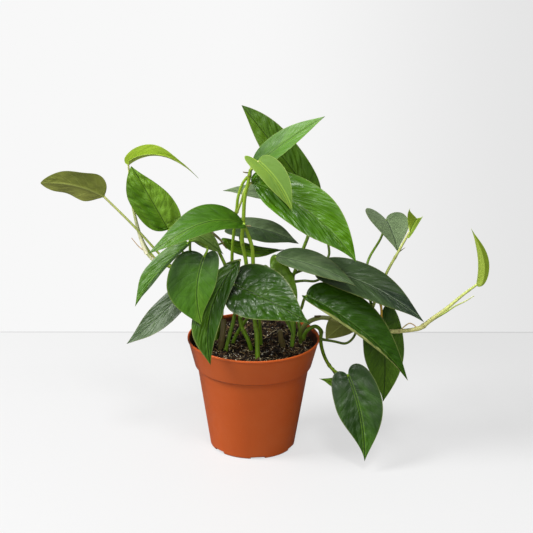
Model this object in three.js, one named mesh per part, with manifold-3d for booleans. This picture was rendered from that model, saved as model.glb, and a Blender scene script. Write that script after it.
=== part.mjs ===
// A potted cebu blue pothos: leafy stems that stand in the soil of a thin plastic nursery pot.
// Millimetres, +Z up, the front of the plant towards -Y. The origin is the middle of the pot's
// underside, on the surface that the pot stands on.
import * as THREE from "three";
import { ParametricGeometry } from "three/addons/geometries/ParametricGeometry.js";
import { mergeVertices } from "three/addons/utils/BufferGeometryUtils.js";
import Module from "manifold-3d";

const wasm = await Module();
wasm.setup();

// Pot: a tapering body under a deep flared lip with a bead at the rim.
const POT_HEIGHT = 104.8;
const RIM_RADIUS = 60;
const BEAD_HEIGHT = 2.2;
const BEAD_DEPTH = 0.7;
const LIP_FOOT_HEIGHT = 79.3;
const LIP_FOOT_RADIUS = 53.2;
const SHOULDER_HEIGHT = 77.8;
const SHOULDER_RADIUS = 50.8;
const FOOT_RADIUS = 38.6;
const FOOT_CHAMFER = 1.2;
const WALL = 1.3;
const FLOOR = 1.6;
const POT_SEGMENTS = 72;

// Drain slots: cut through the corner of the floor and the wall.
const SLOT_COUNT = 6;
const SLOT_WIDTH = 13;
const SLOT_DEPTH = 8;
const SLOT_HEIGHT = 2.6;
const FIRST_SLOT_ANGLE = -82;

// Soil: fills the pot to a little below the rim.
const SOIL_TOP = 95;
const SOIL_RELIEF = 0.8;
const SOIL_RINGS = [0.85, 0.65, 0.45, 0.25];
const SOIL_SEGMENTS = 36;
const SOIL_BANK = 5;
const BANK_START = -10;
const BANK_RUN = 65;
// The soil's bumps are waves that cross: turns a mm in x and in y, in radians, and a phase.
const RELIEF_WAVES = [[0.21, 0, 1.3], [-0.11, 0.17, 0], [0, 0.29, 0.7]];

const CLEARANCE = 0.3;
const WELD = 1e-3;
const NEARBY = 1e-4;

// Stems and petioles: round rods along smooth curves.
const ROD_SIDES = 6;
const ROD_STEP = 8;

// Blades: a half outline is a basal lobe and then a side that runs to the tip.
const BLADE_THICKNESS = 0.8;
const LOBE_SHARE = 0.36;
const LOBE_NECK = 0.16;
const LOBE_TURN = 0.4;
const SIDE_HOLD = 0.42;
const ROWS_ALONG = 9;
const CELLS_ACROSS = 4;
const VEIN_SWEEP = 1.2;
const WAVE_LAG = 1.9;
const PLAIN_BLADE = {
  lobe: [5, 5],
  widest: [0.32, 0.32],
  taper: [0.12, 0.12],
  draw: 0.3,
  arch: 0,
  sway: 0,
  peak: 0.5,
  fold: 8,
  wave: 0,
  waves: 2,
};

const plastic = (color) => new THREE.MeshStandardMaterial({ color, roughness: 0.55, metalness: 0 });
const earth = (color) => new THREE.MeshStandardMaterial({ color, roughness: 0.95, metalness: 0 });
const foliage = (color) => new THREE.MeshStandardMaterial({ color, roughness: 0.42, metalness: 0 });

const TERRACOTTA = plastic(0xaf502a);
const DARK_SOIL = earth(0x2e2119);
const OLD_STEM = earth(0x645a37);
const STEM = foliage(0x7d9140);
const DEEP = foliage(0x2c5a2a);
const MIDDLE = foliage(0x46783c);
const BRIGHT = foliage(0x559614);
const LIME = foliage(0x96be32);
const SHEEN = foliage(0x5f7d5f);
const OLIVE = foliage(0x788250);

// One record a blade. base and tip are the ends of the midrib and face is the way its upper side looks.
// widths, lobe, widest and taper hold the left half and then the right half, as seen on the upper side
// with the base nearest: the width in mm, how far the basal lobe reaches back, where the half is widest
// (a share of the length) and how full it stays towards the tip. draw says over what share of the rest
// the tip is drawn out. arch and sway bend the midrib up and to the left, most at peak. fold lifts the
// halves from the midrib in degrees, and wave ripples the margin, in mm.
const LEAVES = {
  leaf_far_left: {
    base: [-134, 0, 237], tip: [-189, -12, 253], face: [0.05, 0.95, 0.2], widths: [16.5, 12],
    lobe: [-2, -3], widest: [0.3, 0.3], taper: [0.45, 0.75], draw: 0.1, sway: 5, fold: 3, wave: 2.5, waves: 1.6,
    finish: OLIVE,
  },
  leaf_lime_arching: {
    base: [-113, 13, 263], tip: [-50, 0, 255], face: [0.2, -0.57, 0.8], widths: [10, 6.5],
    lobe: [2, -3], widest: [0.25, 0.22], taper: [0.02, 0.02], draw: 0.65, arch: 22, fold: 55,
    finish: LIME,
  },
  leaf_upright_quilted: {
    base: [-77, -2, 207.5], tip: [-110, 6, 264], face: [0.1, -0.85, 0.5], widths: [19, 17.5],
    lobe: [-3, 3], widest: [0.5, 0.24], taper: [0.8, 0.27], arch: 2,
    finish: MIDDLE,
  },
  leaf_front_arch: {
    base: [-10, -12, 217], tip: [-93, -45, 200], face: [-0.2, -0.5, 0.85], widths: [14, 21],
    lobe: [0, 1], widest: [0.45, 0.27], taper: [0.3, 0.32], arch: 16, peak: 0.42, fold: 4,
    finish: MIDDLE,
  },
  leaf_folded_left: {
    base: [-59, -22, 201], tip: [-105, -40, 148], face: [-0.64, -0.48, 0.73], widths: [10, 13],
    lobe: [2, 0], widest: [0.4, 0.55], taper: [0.25, 0.25], arch: 4, fold: 25,
    finish: MIDDLE,
  },
  leaf_low_left: {
    base: [-58, -5, 156], tip: [-114, -22, 105], face: [-0.35, -0.7, 0.6], widths: [14, 12],
    widest: [0.42, 0.42], taper: [0.35, 0.35], arch: 3, sway: 4, fold: 6,
    finish: SHEEN,
  },
  leaf_heart_left: {
    base: [-44, -38, 195], tip: [-45, -58, 138], face: [-0.1, -0.8, 0.6], widths: [17, 27],
    lobe: [8, 1.5], widest: [0.3, 0.42], taper: [0.15, 0.3], arch: 3, sway: -5, fold: 6,
    finish: MIDDLE,
  },
  leaf_lit_small: {
    base: [-54, -14, 209], tip: [-27, -20, 191], face: [0.1, -0.7, 0.7], widths: [9, 8],
    lobe: [3, 3], arch: 2, fold: 6,
    finish: BRIGHT,
  },
  leaf_dark_hanging: {
    base: [-12, -28, 189], tip: [-37, -67, 104], face: [-0.15, -0.85, 0.5], widths: [11.5, 15],
    lobe: [-6, -10], widest: [0.5, 0.65], taper: [0.3, 0.3], arch: 5, sway: -12, fold: 10,
    finish: DEEP,
  },
  leaf_front_heart: {
    base: [-18, -24, 164], tip: [51, -50, 137], face: [0.1, -0.75, 0.65], widths: [28, 25.5],
    lobe: [5, 1], widest: [0.32, 0.2], taper: [0.12, 0.2], arch: 4, fold: 6,
    finish: DEEP,
  },
  leaf_behind_heart: {
    base: [15, -4, 171], tip: [36, -22, 113], face: [0.3, -0.85, 0.45], widths: [17, 10],
    lobe: [12, 6], widest: [0.25, 0.25], arch: 3, fold: 6,
    finish: MIDDLE,
  },
  leaf_blue_grazing: {
    base: [19, -8, 185], tip: [90, -34, 168], face: [0.15, -0.25, 0.95], widths: [20, 16],
    lobe: [-1, -4], widest: [0.32, 0.45], taper: [0.35, 0.25], arch: 5, fold: 5,
    finish: SHEEN,
  },
  leaf_narrow_dark: {
    base: [-27, 22, 188], tip: [27, 28, 179], face: [0, -0.3, 1], widths: [8, 14],
    lobe: [3, 3], taper: [0.3, 0.3], arch: -5, fold: 6,
    finish: DEEP,
  },
  leaf_back_dark: {
    base: [-13, 34, 199], tip: [40, 22, 187], face: [0.1, -0.3, 0.95], widths: [15, 21],
    lobe: [12, 12], taper: [0.4, 0.4], arch: 4, fold: 5,
    finish: SHEEN,
  },
  leaf_back_grazing: {
    base: [33, 34, 228], tip: [-29, 24, 236], face: [0, -0.2, 1], widths: [16, 16],
    taper: [0.3, 0.3], arch: 2, fold: 4,
    finish: SHEEN,
  },
  leaf_top_back: {
    base: [51, 30, 230], tip: [-13, 45, 310], face: [0.2, -0.85, 0.5], widths: [14, 17.5],
    lobe: [4, 4], widest: [0.4, 0.4], taper: [0.4, 0.8], arch: 3, fold: 6,
    finish: DEEP,
  },
  leaf_top_pointing: {
    base: [1, 10, 265], tip: [61, 2, 313], face: [-0.1, -0.6, 0.8], widths: [13, 11],
    lobe: [1, 2], taper: [0.4, 0.4], arch: 3,
    finish: BRIGHT,
  },
  leaf_lime_down: {
    base: [3, -8, 274], tip: [33, -28, 235], face: [0.1, -0.8, 0.6], widths: [12.5, 10.5],
    lobe: [1, 12], widest: [0.27, 0.32], taper: [0.3, 0.35], arch: 3, sway: 3, fold: 12,
    finish: LIME,
  },
  leaf_bright_big: {
    base: [-3, 0, 252], tip: [90, -36, 191], face: [0.1, -0.75, 0.65], widths: [24, 20.5],
    lobe: [0, -9], widest: [0.46, 0.45], taper: [0.42, 0.25], arch: 6, sway: 8, fold: 6,
    finish: BRIGHT,
  },
  leaf_right_dark: {
    base: [65, -4, 171], tip: [152, -34, 134], face: [0.2, -0.5, 0.85], widths: [21, 19],
    lobe: [8, 8], taper: [0.3, 0.25], arch: 6, sway: 3, fold: 5,
    finish: SHEEN,
  },
  leaf_right_big: {
    base: [47, -22, 153], tip: [139, -40, 80], face: [0.45, -0.55, 0.7], widths: [26, 11],
    lobe: [0, 3], taper: [0.35, 0.2], arch: 8, sway: 3, fold: 20,
    finish: DEEP,
  },
  leaf_hanging_right: {
    base: [116, 2, 121], tip: [119, -8, 45], face: [0.15, -0.95, 0.3], widths: [18, 20],
    lobe: [14, 14], taper: [0.4, 0.15], arch: 3, sway: 2, fold: 6,
    finish: DEEP,
  },
  leaf_low_heart: {
    base: [86, -28, 79], tip: [101, -64, 11], face: [0.1, -0.9, 0.4], widths: [22, 21],
    lobe: [8, 7], taper: [0.25, 0.1], arch: 3, sway: 4, fold: 5,
    finish: MIDDLE,
  },
  leaf_hidden_tip: {
    base: [91, -8, 54], tip: [60, -14, 70], face: [0, -0.5, 0.87], widths: [8, 8],
    lobe: [3, 3], arch: 2,
    finish: MIDDLE,
  },
  leaf_olive_under: {
    base: [98, 4, 129], tip: [66, 8, 100], face: [0.1, 0.85, 0.5], widths: [15, 15],
    widest: [0.45, 0.45], taper: [0.6, 0.6], arch: 2, fold: 4,
    finish: OLIVE,
  },
  leaf_back_heart: {
    base: [120, 48, 202], tip: [129, 2, 187], face: [0.05, -0.2, 0.97], widths: [18, 21],
    lobe: [8, 17], widest: [0.3, 0.12], taper: [0.12, 0.3], arch: 3, fold: 22,
    finish: SHEEN,
  },
  leaf_new_cup: {
    base: [138, -4, 208], tip: [144, -6, 222], face: [0, -0.95, 0.3], widths: [10, 4],
    lobe: [-8, 5], widest: [1.55, 1.42], taper: [0.3, 0.3], arch: -1, fold: 12,
    finish: LIME,
  },
  leaf_young_upright: {
    base: [202, 10, 154], tip: [194, 6, 209], face: [0.95, -0.25, 0.1], widths: [7, 10],
    lobe: [1, 2], widest: [0.28, 0.28], taper: [0.15, 0.15], arch: 4, fold: 60,
    finish: LIME,
  },
};

// The rods of each leafy stem: the first is the stem from its end in the soil, and the others are its
// branches, petioles, aerial roots and spikes.
const VINES = {
  vine_left: [
    { radius: 2.0, path: [[-34, 14, 80], [-34, 14, 95], [-30, 10, 116], [-30, 5, 140], [-39, -2, 159],
      [-58, 0, 169], [-77, 0, 172]] },
    { radius: 1.1, path: [[-74, 0, 171], [-83, 0, 181], [-109, 0, 211], [-134, 0, 237]] },
    { radius: 1.2, path: [[-76, 0, 172], [-85, 1, 175], [-97, 5, 188], [-104, 8, 203], [-109, 11, 222],
      [-113, 13, 263]] },
    { radius: 1.1, path: [[-58, 0, 169], [-63, 2, 182], [-69, 0, 196], [-77, -2, 207.5]] },
    { radius: 1.3, path: [[-52, 0, 167], [-57, -10, 189], [-57, -16, 203]] },
    { radius: 1.1, path: [[-57, -16, 202], [-50, -27, 205], [-41, -36, 202], [-44, -38, 195]] },
    { radius: 1.0, path: [[-57, -16, 202], [-59, -22, 201]] },
    { radius: 1.0, path: [[-57, -16, 202], [-54, -14, 209]] },
    { radius: 1.0, path: [[-49, -1, 164], [-53, -3, 161], [-58, -5, 156]] },
    { radius: 0.7, path: [[-86, 1, 176], [-94, 2, 182], [-103, 2, 189], [-110, 1, 198]] },
  ],
  vine_inner: [
    { radius: 1.8, path: [[-25, -14, 80], [-25, -14, 95], [-22, -12, 109], [-17, -8, 130],
      [-18, -10, 154], [-25, -12, 176], [-32, -8, 190], [-37, -4, 199], [-40, -2, 205]] },
    { radius: 1.0, path: [[-26, -12, 178], [-20, -20, 184], [-12, -28, 189]] },
    { radius: 1.0, path: [[-36, -4, 197], [-34, 8, 190], [-28, 21, 187.5]] },
  ],
  vine_front: [
    { radius: 2.2, path: [[4, -30, 80], [4, -30, 95], [3, -22, 115], [1, -14, 128], [0, -8, 153],
      [-1, -4, 178], [-2, -4, 192], [-5, -6, 203], [-8, -9, 212], [-10, -12, 217]] },
    { radius: 1.2, path: [[1, -10, 136], [-7, -20, 152], [-18, -24, 164]] },
    { radius: 1.2, path: [[0, -8, 147], [7, -7, 159], [15, -4, 171]] },
    { radius: 1.6, path: [[-19, 6, 80], [-19, 6, 95], [-13, 6, 109], [-4, 5, 123], [1, -4, 136],
      [0, -8, 146]] },
    { radius: 1.5, path: [[7, 4, 80], [7, 4, 95], [6, 3, 112], [5, 1, 124], [1, -7, 140]] },
  ],
  vine_top: [
    { radius: 2.0, path: [[-2, -9, 80], [-2, -9, 95], [-5, -8, 105], [-11, 0, 115], [-12, 2, 139],
      [-7, 4, 170], [-11, 4, 196], [-10, 2, 214], [-9, 0, 237], [-6, -1, 252], [-4, -1, 264]] },
    { radius: 1.6, path: [[-11, 0, 123], [-16, 8, 147], [-20, 10, 172], [-18, 10, 208], [-16, 7, 226],
      [-15, 5, 236], [-11, 2, 250], [-7, -1, 257]] },
    { radius: 1.1, path: [[-16, 8, 221], [-12, 4, 233], [-9, 0, 245], [-3, 0, 252]] },
    { radius: 1.2, path: [[-4, -1, 263], [3, -8, 274]] },
    { radius: 1.2, path: [[-4, -1, 263], [-3, 4, 265], [1, 10, 265]] },
    { radius: 1.2, path: [[-11, 4, 193], [-13, 18, 193], [-13, 34, 199]] },
  ],
  vine_back: [
    { radius: 1.9, path: [[35, 0, 80], [35, -1, 95], [37, 4, 115], [38, 10, 132], [35, 14, 157],
      [37, 15, 163], [44, 18, 183], [49, 22, 197], [51, 27, 214], [51, 30, 230]] },
    { radius: 1.2, path: [[35, 14, 153], [45, 12, 155], [55, 6, 157], [61, 0, 163], [65, -4, 171]] },
    { radius: 1.2, path: [[35, 14, 159], [29, 6, 169], [23, -4, 180], [19, -8, 185]] },
    { radius: 1.2, path: [[36, 15, 161], [52, 22, 165], [67, 26, 173], [67, 30, 184], [57, 34, 212],
      [44, 34, 226], [33, 34, 228]] },
  ],
  vine_right: [
    { radius: 2.2, path: [[40, 24, 80], [41, 24, 95], [49, 17, 112], [59, 14, 118], [65, 10, 120],
      [83, 0, 120], [101, -9, 116], [122, -12, 116], [136, -10, 116], [148, -8, 117]] },
    { radius: 2.2, path: [[146, -8, 117], [151, -7, 118], [162, -4, 126], [173, 0, 133], [190, 6, 146],
      [202, 10, 154]] },
    { radius: 1.3, path: [[160, -4, 124], [173, -2, 131], [182, -1, 137], [191, 1, 141], [199, 2, 146]] },
    { radius: 1.6, path: [[102, -9, 116], [108, -4, 138], [119, 1, 167], [129, 0, 188], [138, -4, 208]] },
    { radius: 1.2, path: [[107, -5, 136], [102, 10, 152], [103, 22, 170], [116, 42, 188],
      [120, 48, 202]] },
    { radius: 1.2, path: [[111, -2, 146], [115, 0, 136], [116, 2, 121]] },
    { radius: 0.6, path: [[132, -10, 116], [137, -10, 121], [141, -9, 123], [146, -8, 120],
      [147, -8, 118]] },
  ],
  vine_low: [
    { radius: 2.0, path: [[45, 15, 80], [45, 15, 95], [48, 15, 104], [53, 16, 108], [57, 17, 108.5],
      [61.5, 17, 104.5], [61.5, 15, 95], [65, 2, 85], [72, -13, 79], [80, -22, 77], [86, -28, 79]] },
    { radius: 1.2, path: [[61, 15, 97], [74, 12, 96], [84, 10, 95], [90, 8, 100], [94, 6, 110],
      [98, 4, 129]] },
    { radius: 1.2, path: [[72, -12, 79], [81, -12, 64], [91, -8, 54]] },
  ],
  vine_side: [
    { radius: 1.8, path: [[43, 6, 80], [43, 6, 95], [42, -3, 112], [40, -6, 129], [43, -12, 138],
      [45, -18, 148], [47, -22, 153]] },
  ],
};

// Old stems that were cut off above the soil.
const STUBS = {
  stub_left: [{ radius: 2.9, path: [[-30, -8, 85], [-30, -8, 95], [-28, -8, 110], [-27, -3, 122]] }],
  stub_right: [{ radius: 2.7, path: [[27, 0, 85], [27, 0, 95], [25, -4, 105], [24, -5, 113]] }],
};

// Leaves only positions, with the corners that lie together made one.
function weld(geometry) {
  geometry.deleteAttribute("normal");
  geometry.deleteAttribute("uv");
  return mergeVertices(geometry, WELD);
}

// The triangles of a welded geometry that have three different corners.
function faces(geometry) {
  const corners = geometry.index.array;
  const kept = [];
  for (let i = 0; i < corners.length; i += 3) {
    const [a, b, c] = corners.subarray(i, i + 3);
    if (a !== b && b !== c && c !== a) kept.push([a, b, c]);
  }
  return kept;
}

function solid(geometry) {
  const closed = weld(geometry);
  const vertProperties = closed.attributes.position.array;
  const triVerts = new Uint32Array(faces(closed).flat());
  return new wasm.Manifold(new wasm.Mesh({ numProp: 3, vertProperties, triVerts }));
}

function piece(name, body, finish) {
  const { vertProperties, triVerts } = body.getMesh();
  const geometry = new THREE.BufferGeometry();
  geometry.setAttribute("position", new THREE.BufferAttribute(vertProperties, 3));
  geometry.setIndex(new THREE.BufferAttribute(triVerts, 1));
  geometry.computeVertexNormals();
  const mesh = new THREE.Mesh(geometry, finish);
  mesh.name = name;
  return mesh;
}

// A closed profile of [radius, height] points, turned round the pot's axis.
function turned(profile, segments) {
  const points = profile.map(([radius, height]) => new THREE.Vector2(radius, height));
  return new THREE.LatheGeometry(points, segments).rotateX(Math.PI / 2);
}

// A round rod, as much as margin thicker and longer at its foot than the rod's own record says.
function rod({ radius, path }, margin = 0) {
  const points = path.map((point) => new THREE.Vector3(...point));
  const backwards = points[0].clone().sub(points[1]).normalize();
  points[0].addScaledVector(backwards, margin);
  const curve = new THREE.CatmullRomCurve3(points);
  const corners = [];
  for (let i = 0; i < ROD_SIDES; i += 1) {
    const angle = (2 * Math.PI * i) / ROD_SIDES;
    corners.push(new THREE.Vector2(Math.cos(angle), Math.sin(angle)).multiplyScalar(radius + margin));
  }
  const steps = Math.max(2, Math.round(curve.getLength() / ROD_STEP));
  return solid(new THREE.ExtrudeGeometry(new THREE.Shape(corners), { steps, extrudePath: curve }));
}

function joined(rods, margin = 0) {
  return wasm.Manifold.union(rods.map((record) => rod(record, margin)));
}

class Blade {
  constructor(record) {
    Object.assign(this, PLAIN_BLADE, record);
    this.start = new THREE.Vector3(...record.base);
    this.chord = new THREE.Vector3(...record.tip).sub(this.start);
    this.length = this.chord.length();
    const forward = this.chord.clone().normalize();
    this.up = new THREE.Vector3(...record.face).projectOnPlane(forward).normalize();
    const left = new THREE.Vector3().crossVectors(this.up, forward);
    this.rise = this.up.clone().multiplyScalar(this.arch).addScaledVector(left, this.sway);
    this.halves = [0, 1].map((half) => this.outline(half));
  }

  // The outline of one half in the flat: x along the midrib, y out from it. The lobe's curve leaves the
  // base backwards, and turns round at LOBE_TURN of its run, as far back as the record says.
  outline(half) {
    const width = this.widths[half];
    const widest = this.widest[half] * this.length;
    const rest = this.length - widest;
    const back = (this.lobe[half] + LOBE_TURN ** 3 * widest) / (3 * LOBE_TURN * (1 - LOBE_TURN));
    const flat = (x, y) => new THREE.Vector2(x, y);
    const lobe = new THREE.CubicBezierCurve(
      flat(0, 0), flat(-back, LOBE_NECK * width), flat(-back, width), flat(widest, width));
    const side = new THREE.CubicBezierCurve(
      flat(widest, width), flat(widest + SIDE_HOLD * rest, width),
      flat(this.length - this.draw * rest, this.taper[half] * width), flat(this.length, 0));
    return (t) => (t < LOBE_SHARE
      ? lobe.getPoint(t / LOBE_SHARE)
      : side.getPoint((t - LOBE_SHARE) / (1 - LOBE_SHARE)));
  }

  // How much of the full arch the midrib has at a share of its length: 1 at peak, 0 at both ends.
  arching(share) {
    const least = Math.min(this.peak, 1 - this.peak);
    const before = this.peak / least;
    const after = (1 - this.peak) / least;
    const top = this.peak ** before * (1 - this.peak) ** after;
    return (share ** before * (1 - share) ** after) / top;
  }

  midrib(share) {
    return this.start.clone().addScaledVector(this.chord, share)
      .addScaledVector(this.rise, this.arching(share));
  }

  // Bends a point of the flat blade to where it is in space. half is 0 on the left, 1 on the right.
  bent(along, across, half) {
    const side = half === 0 ? 1 : -1;
    const share = THREE.MathUtils.clamp(along / this.length, 0, 1);
    const ahead = this.midrib(Math.min(share + NEARBY, 1));
    const forward = ahead.sub(this.midrib(Math.max(share - NEARBY, 0))).normalize();
    const up = this.up.clone().projectOnPlane(forward).normalize();
    const left = new THREE.Vector3().crossVectors(up, forward);
    const fold = THREE.MathUtils.degToRad(this.fold);
    const ripple = Math.sin((2 * Math.PI * this.waves * along) / this.length + half * WAVE_LAG);
    const height = across * Math.sin(fold) + this.wave * ripple * (across / this.widths[half]) ** 2;
    return this.midrib(share)
      .addScaledVector(forward, along - share * this.length)
      .addScaledVector(left, side * across * Math.cos(fold))
      .addScaledVector(up, height);
  }

  // The blade's middle surface: u goes from the left margin over the midrib to the right one, and v
  // along the margin. The lines of equal v leave the midrib and sweep towards the tip like side veins.
  surface() {
    return new ParametricGeometry((u, v, target) => {
      const half = u < 0.5 ? 0 : 1;
      const out = Math.abs(2 * u - 1);
      const edge = this.halves[half](v);
      const foot = this.length * v ** 2;
      const along = foot + (edge.x - foot) * out ** VEIN_SWEEP;
      target.copy(this.bent(along, edge.y * out, half));
    }, CELLS_ACROSS, ROWS_ALONG);
  }
}

// A closed sheet round an open surface, with the same triangles on both of its faces.
function thickened(surface, thickness) {
  const middle = weld(surface);
  middle.computeVertexNormals();
  const { position, normal } = middle.attributes;
  const count = position.count;
  const vertices = new Float32Array(6 * count);
  for (let i = 0; i < count; i += 1) {
    const point = new THREE.Vector3().fromBufferAttribute(position, i);
    const out = new THREE.Vector3().fromBufferAttribute(normal, i);
    point.clone().addScaledVector(out, thickness / 2).toArray(vertices, 3 * i);
    point.addScaledVector(out, -thickness / 2).toArray(vertices, 3 * (i + count));
  }
  const upper = faces(middle);
  const edges = new Set(upper.flatMap(([a, b, c]) => [`${a} ${b}`, `${b} ${c}`, `${c} ${a}`]));
  const triangles = upper.flatMap(([a, b, c]) => [a, b, c, a + count, c + count, b + count]);
  for (const edge of edges) {
    const [a, b] = edge.split(" ").map(Number);
    if (!edges.has(`${b} ${a}`)) triangles.push(b, a, a + count, b, a + count, b + count);
  }
  const sheet = new THREE.BufferGeometry();
  sheet.setAttribute("position", new THREE.BufferAttribute(vertices, 3));
  sheet.setIndex(new THREE.BufferAttribute(new Uint32Array(triangles), 1));
  return sheet;
}

function makePot() {
  const outside = [
    [0, 0],
    [FOOT_RADIUS - FOOT_CHAMFER, 0],
    [FOOT_RADIUS, FOOT_CHAMFER],
    [SHOULDER_RADIUS, SHOULDER_HEIGHT],
    [LIP_FOOT_RADIUS, LIP_FOOT_HEIGHT],
    [RIM_RADIUS - BEAD_DEPTH, POT_HEIGHT - BEAD_HEIGHT],
    [RIM_RADIUS, POT_HEIGHT - BEAD_HEIGHT + BEAD_DEPTH],
    [RIM_RADIUS, POT_HEIGHT],
  ];
  const inside = [
    [RIM_RADIUS - WALL, POT_HEIGHT],
    [RIM_RADIUS - BEAD_DEPTH - WALL, POT_HEIGHT - BEAD_HEIGHT],
    [LIP_FOOT_RADIUS - WALL, LIP_FOOT_HEIGHT + WALL],
    [SHOULDER_RADIUS - WALL, SHOULDER_HEIGHT + WALL],
    [FOOT_RADIUS - WALL, FLOOR],
    [0, FLOOR],
  ];
  let pot = solid(turned([...outside, ...inside], POT_SEGMENTS));
  for (let i = 0; i < SLOT_COUNT; i += 1) {
    const slot = new THREE.BoxGeometry(SLOT_DEPTH, SLOT_WIDTH, 2 * SLOT_HEIGHT);
    slot.translate(FOOT_RADIUS, 0, 0);
    slot.rotateZ(THREE.MathUtils.degToRad(FIRST_SLOT_ANGLE + (360 / SLOT_COUNT) * i));
    pot = pot.subtract(solid(slot));
  }
  return pot;
}

// How far the soil stands above SOIL_TOP: its bumps and hollows, and the bank against the pot's back.
function relief(x, y) {
  const heights = RELIEF_WAVES.map(([kx, ky, phase]) => Math.sin(kx * x + ky * y + phase));
  const bumps = (SOIL_RELIEF * heights.reduce((sum, height) => sum + height)) / RELIEF_WAVES.length;
  return bumps + SOIL_BANK * Math.max(0, (y - BANK_START) / BANK_RUN) ** 2;
}

function makeSoil(stems) {
  const slope = (RIM_RADIUS - BEAD_DEPTH - LIP_FOOT_RADIUS) / (POT_HEIGHT - BEAD_HEIGHT - LIP_FOOT_HEIGHT);
  const edge = LIP_FOOT_RADIUS - WALL + slope * (SOIL_TOP - LIP_FOOT_HEIGHT - WALL) - 2 * CLEARANCE;
  const profile = [
    [0, FLOOR + CLEARANCE],
    [FOOT_RADIUS - WALL - CLEARANCE, FLOOR + CLEARANCE],
    [SHOULDER_RADIUS - WALL - CLEARANCE, SHOULDER_HEIGHT + WALL],
    [LIP_FOOT_RADIUS - WALL - CLEARANCE, LIP_FOOT_HEIGHT + WALL],
    [edge, SOIL_TOP],
    ...SOIL_RINGS.map((share) => [share * edge, SOIL_TOP]),
    [0, SOIL_TOP],
  ];
  const geometry = turned(profile, SOIL_SEGMENTS);
  const { position } = geometry.attributes;
  for (let i = 0; i < position.count; i += 1) {
    const height = position.getZ(i);
    if (height > SOIL_TOP - WELD) {
      position.setZ(i, height + relief(position.getX(i), position.getY(i)));
    }
  }
  return stems.reduce((soil, stem) => soil.subtract(rod(stem, CLEARANCE)), solid(geometry));
}

const plant = new THREE.Group();
const rods = [...Object.values(VINES), ...Object.values(STUBS)].flat();
plant.add(piece("pot", makePot(), TERRACOTTA));
plant.add(piece("soil", makeSoil(rods.filter(({ path }) => path[0][2] < SOIL_TOP)), DARK_SOIL));
for (const [name, vine] of Object.entries(VINES)) {
  plant.add(piece(name, joined(vine), STEM));
}
for (const [name, stub] of Object.entries(STUBS)) {
  plant.add(piece(name, joined(stub), OLD_STEM));
}
const wood = joined(Object.values(VINES).flat(), CLEARANCE);
for (const [name, record] of Object.entries(LEAVES)) {
  const blade = solid(thickened(new Blade(record).surface(), BLADE_THICKNESS));
  plant.add(piece(name, blade.subtract(wood), record.finish));
}

export default plant;
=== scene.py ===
"""A potted cebu blue pothos, dressed for the render.

Every blade, stem and aerial root keeps the form that its solid has in the frame, and gets the fine
surface of the real plant here: quilting between sunken veins, raised ribs underneath, joints, sheaths
and brown scars. The pot and the soil are made again with round edges, crumbs, fibres and perlite.

Tables are in millimetres and meshes in metres. +Z is up and the front of the plant is towards -Y.
"""

import logging
import math
from dataclasses import dataclass, field
from enum import Enum

import bpy
import numpy as np
from mathutils import Matrix, Vector

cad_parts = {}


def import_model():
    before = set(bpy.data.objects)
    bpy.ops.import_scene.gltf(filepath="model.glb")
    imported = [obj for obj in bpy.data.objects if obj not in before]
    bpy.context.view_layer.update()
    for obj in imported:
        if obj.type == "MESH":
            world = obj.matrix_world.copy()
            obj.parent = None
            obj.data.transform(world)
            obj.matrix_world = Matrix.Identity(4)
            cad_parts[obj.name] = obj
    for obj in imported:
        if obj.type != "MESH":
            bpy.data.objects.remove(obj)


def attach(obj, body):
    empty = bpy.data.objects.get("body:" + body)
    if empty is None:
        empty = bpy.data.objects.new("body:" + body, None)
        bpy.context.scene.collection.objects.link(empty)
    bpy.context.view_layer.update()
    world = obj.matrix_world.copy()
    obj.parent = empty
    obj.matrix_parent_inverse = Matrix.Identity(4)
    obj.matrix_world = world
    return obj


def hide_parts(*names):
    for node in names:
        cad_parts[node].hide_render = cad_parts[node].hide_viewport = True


MM = 0.001
LOG = logging.getLogger("pothos")

Point = tuple[float, float, float]
Pair = tuple[float, float]
Rgb = tuple[int, int, int]


def linear(colour: Rgb) -> tuple[float, float, float, float]:
    """Turns an eight-bit screen colour into Blender's linear colour.

    Args:
        colour: Red, green and blue from 0 to 255.

    Returns:
        Linear red, green and blue from 0 to 1, and an alpha of 1.
    """
    shares = (c / 255 for c in colour)
    red, green, blue = (s / 12.92 if s <= 0.04045 else ((s + 0.055) / 1.055) ** 2.4 for s in shares)
    return red, green, blue, 1.0


def unit(vectors: np.ndarray) -> np.ndarray:
    """Returns vectors scaled to length 1 along their last axis."""
    lengths = np.linalg.norm(vectors, axis=-1, keepdims=True)
    return vectors / np.maximum(lengths, 1e-12)


def smoothstep(values: np.ndarray, low: float, high: float) -> np.ndarray:
    """Returns 3 x^2 - 2 x^3, where x runs from 0 at low to 1 at high and stops there."""
    x = np.clip((values - low) / (high - low), 0, 1)
    return x * x * (3 - 2 * x)


def bell(values: np.ndarray, width: float) -> np.ndarray:
    """Returns exp(-(x / width)^2), a soft bump that is 1 at zero."""
    return np.exp(-((values / width) ** 2))


def bezier(corners: np.ndarray, t: np.ndarray) -> np.ndarray:
    """Follows a cubic Bezier curve, (1-t)^3 a + 3 t (1-t)^2 b + 3 t^2 (1-t) c + t^3 d.

    Args:
        corners: The four control points, one a row.
        t: Where along the curve, from 0 to 1.

    Returns:
        One point for each t.
    """
    t = t[:, None]
    a, b, c, d = corners
    return (1 - t) ** 3 * a + 3 * t * (1 - t) ** 2 * b + 3 * t**2 * (1 - t) * c + t**3 * d


def around(count: int) -> np.ndarray:
    """Returns that many angles, evenly spaced over a full turn."""
    return np.linspace(0, 2 * math.pi, count, endpoint=False)


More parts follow.
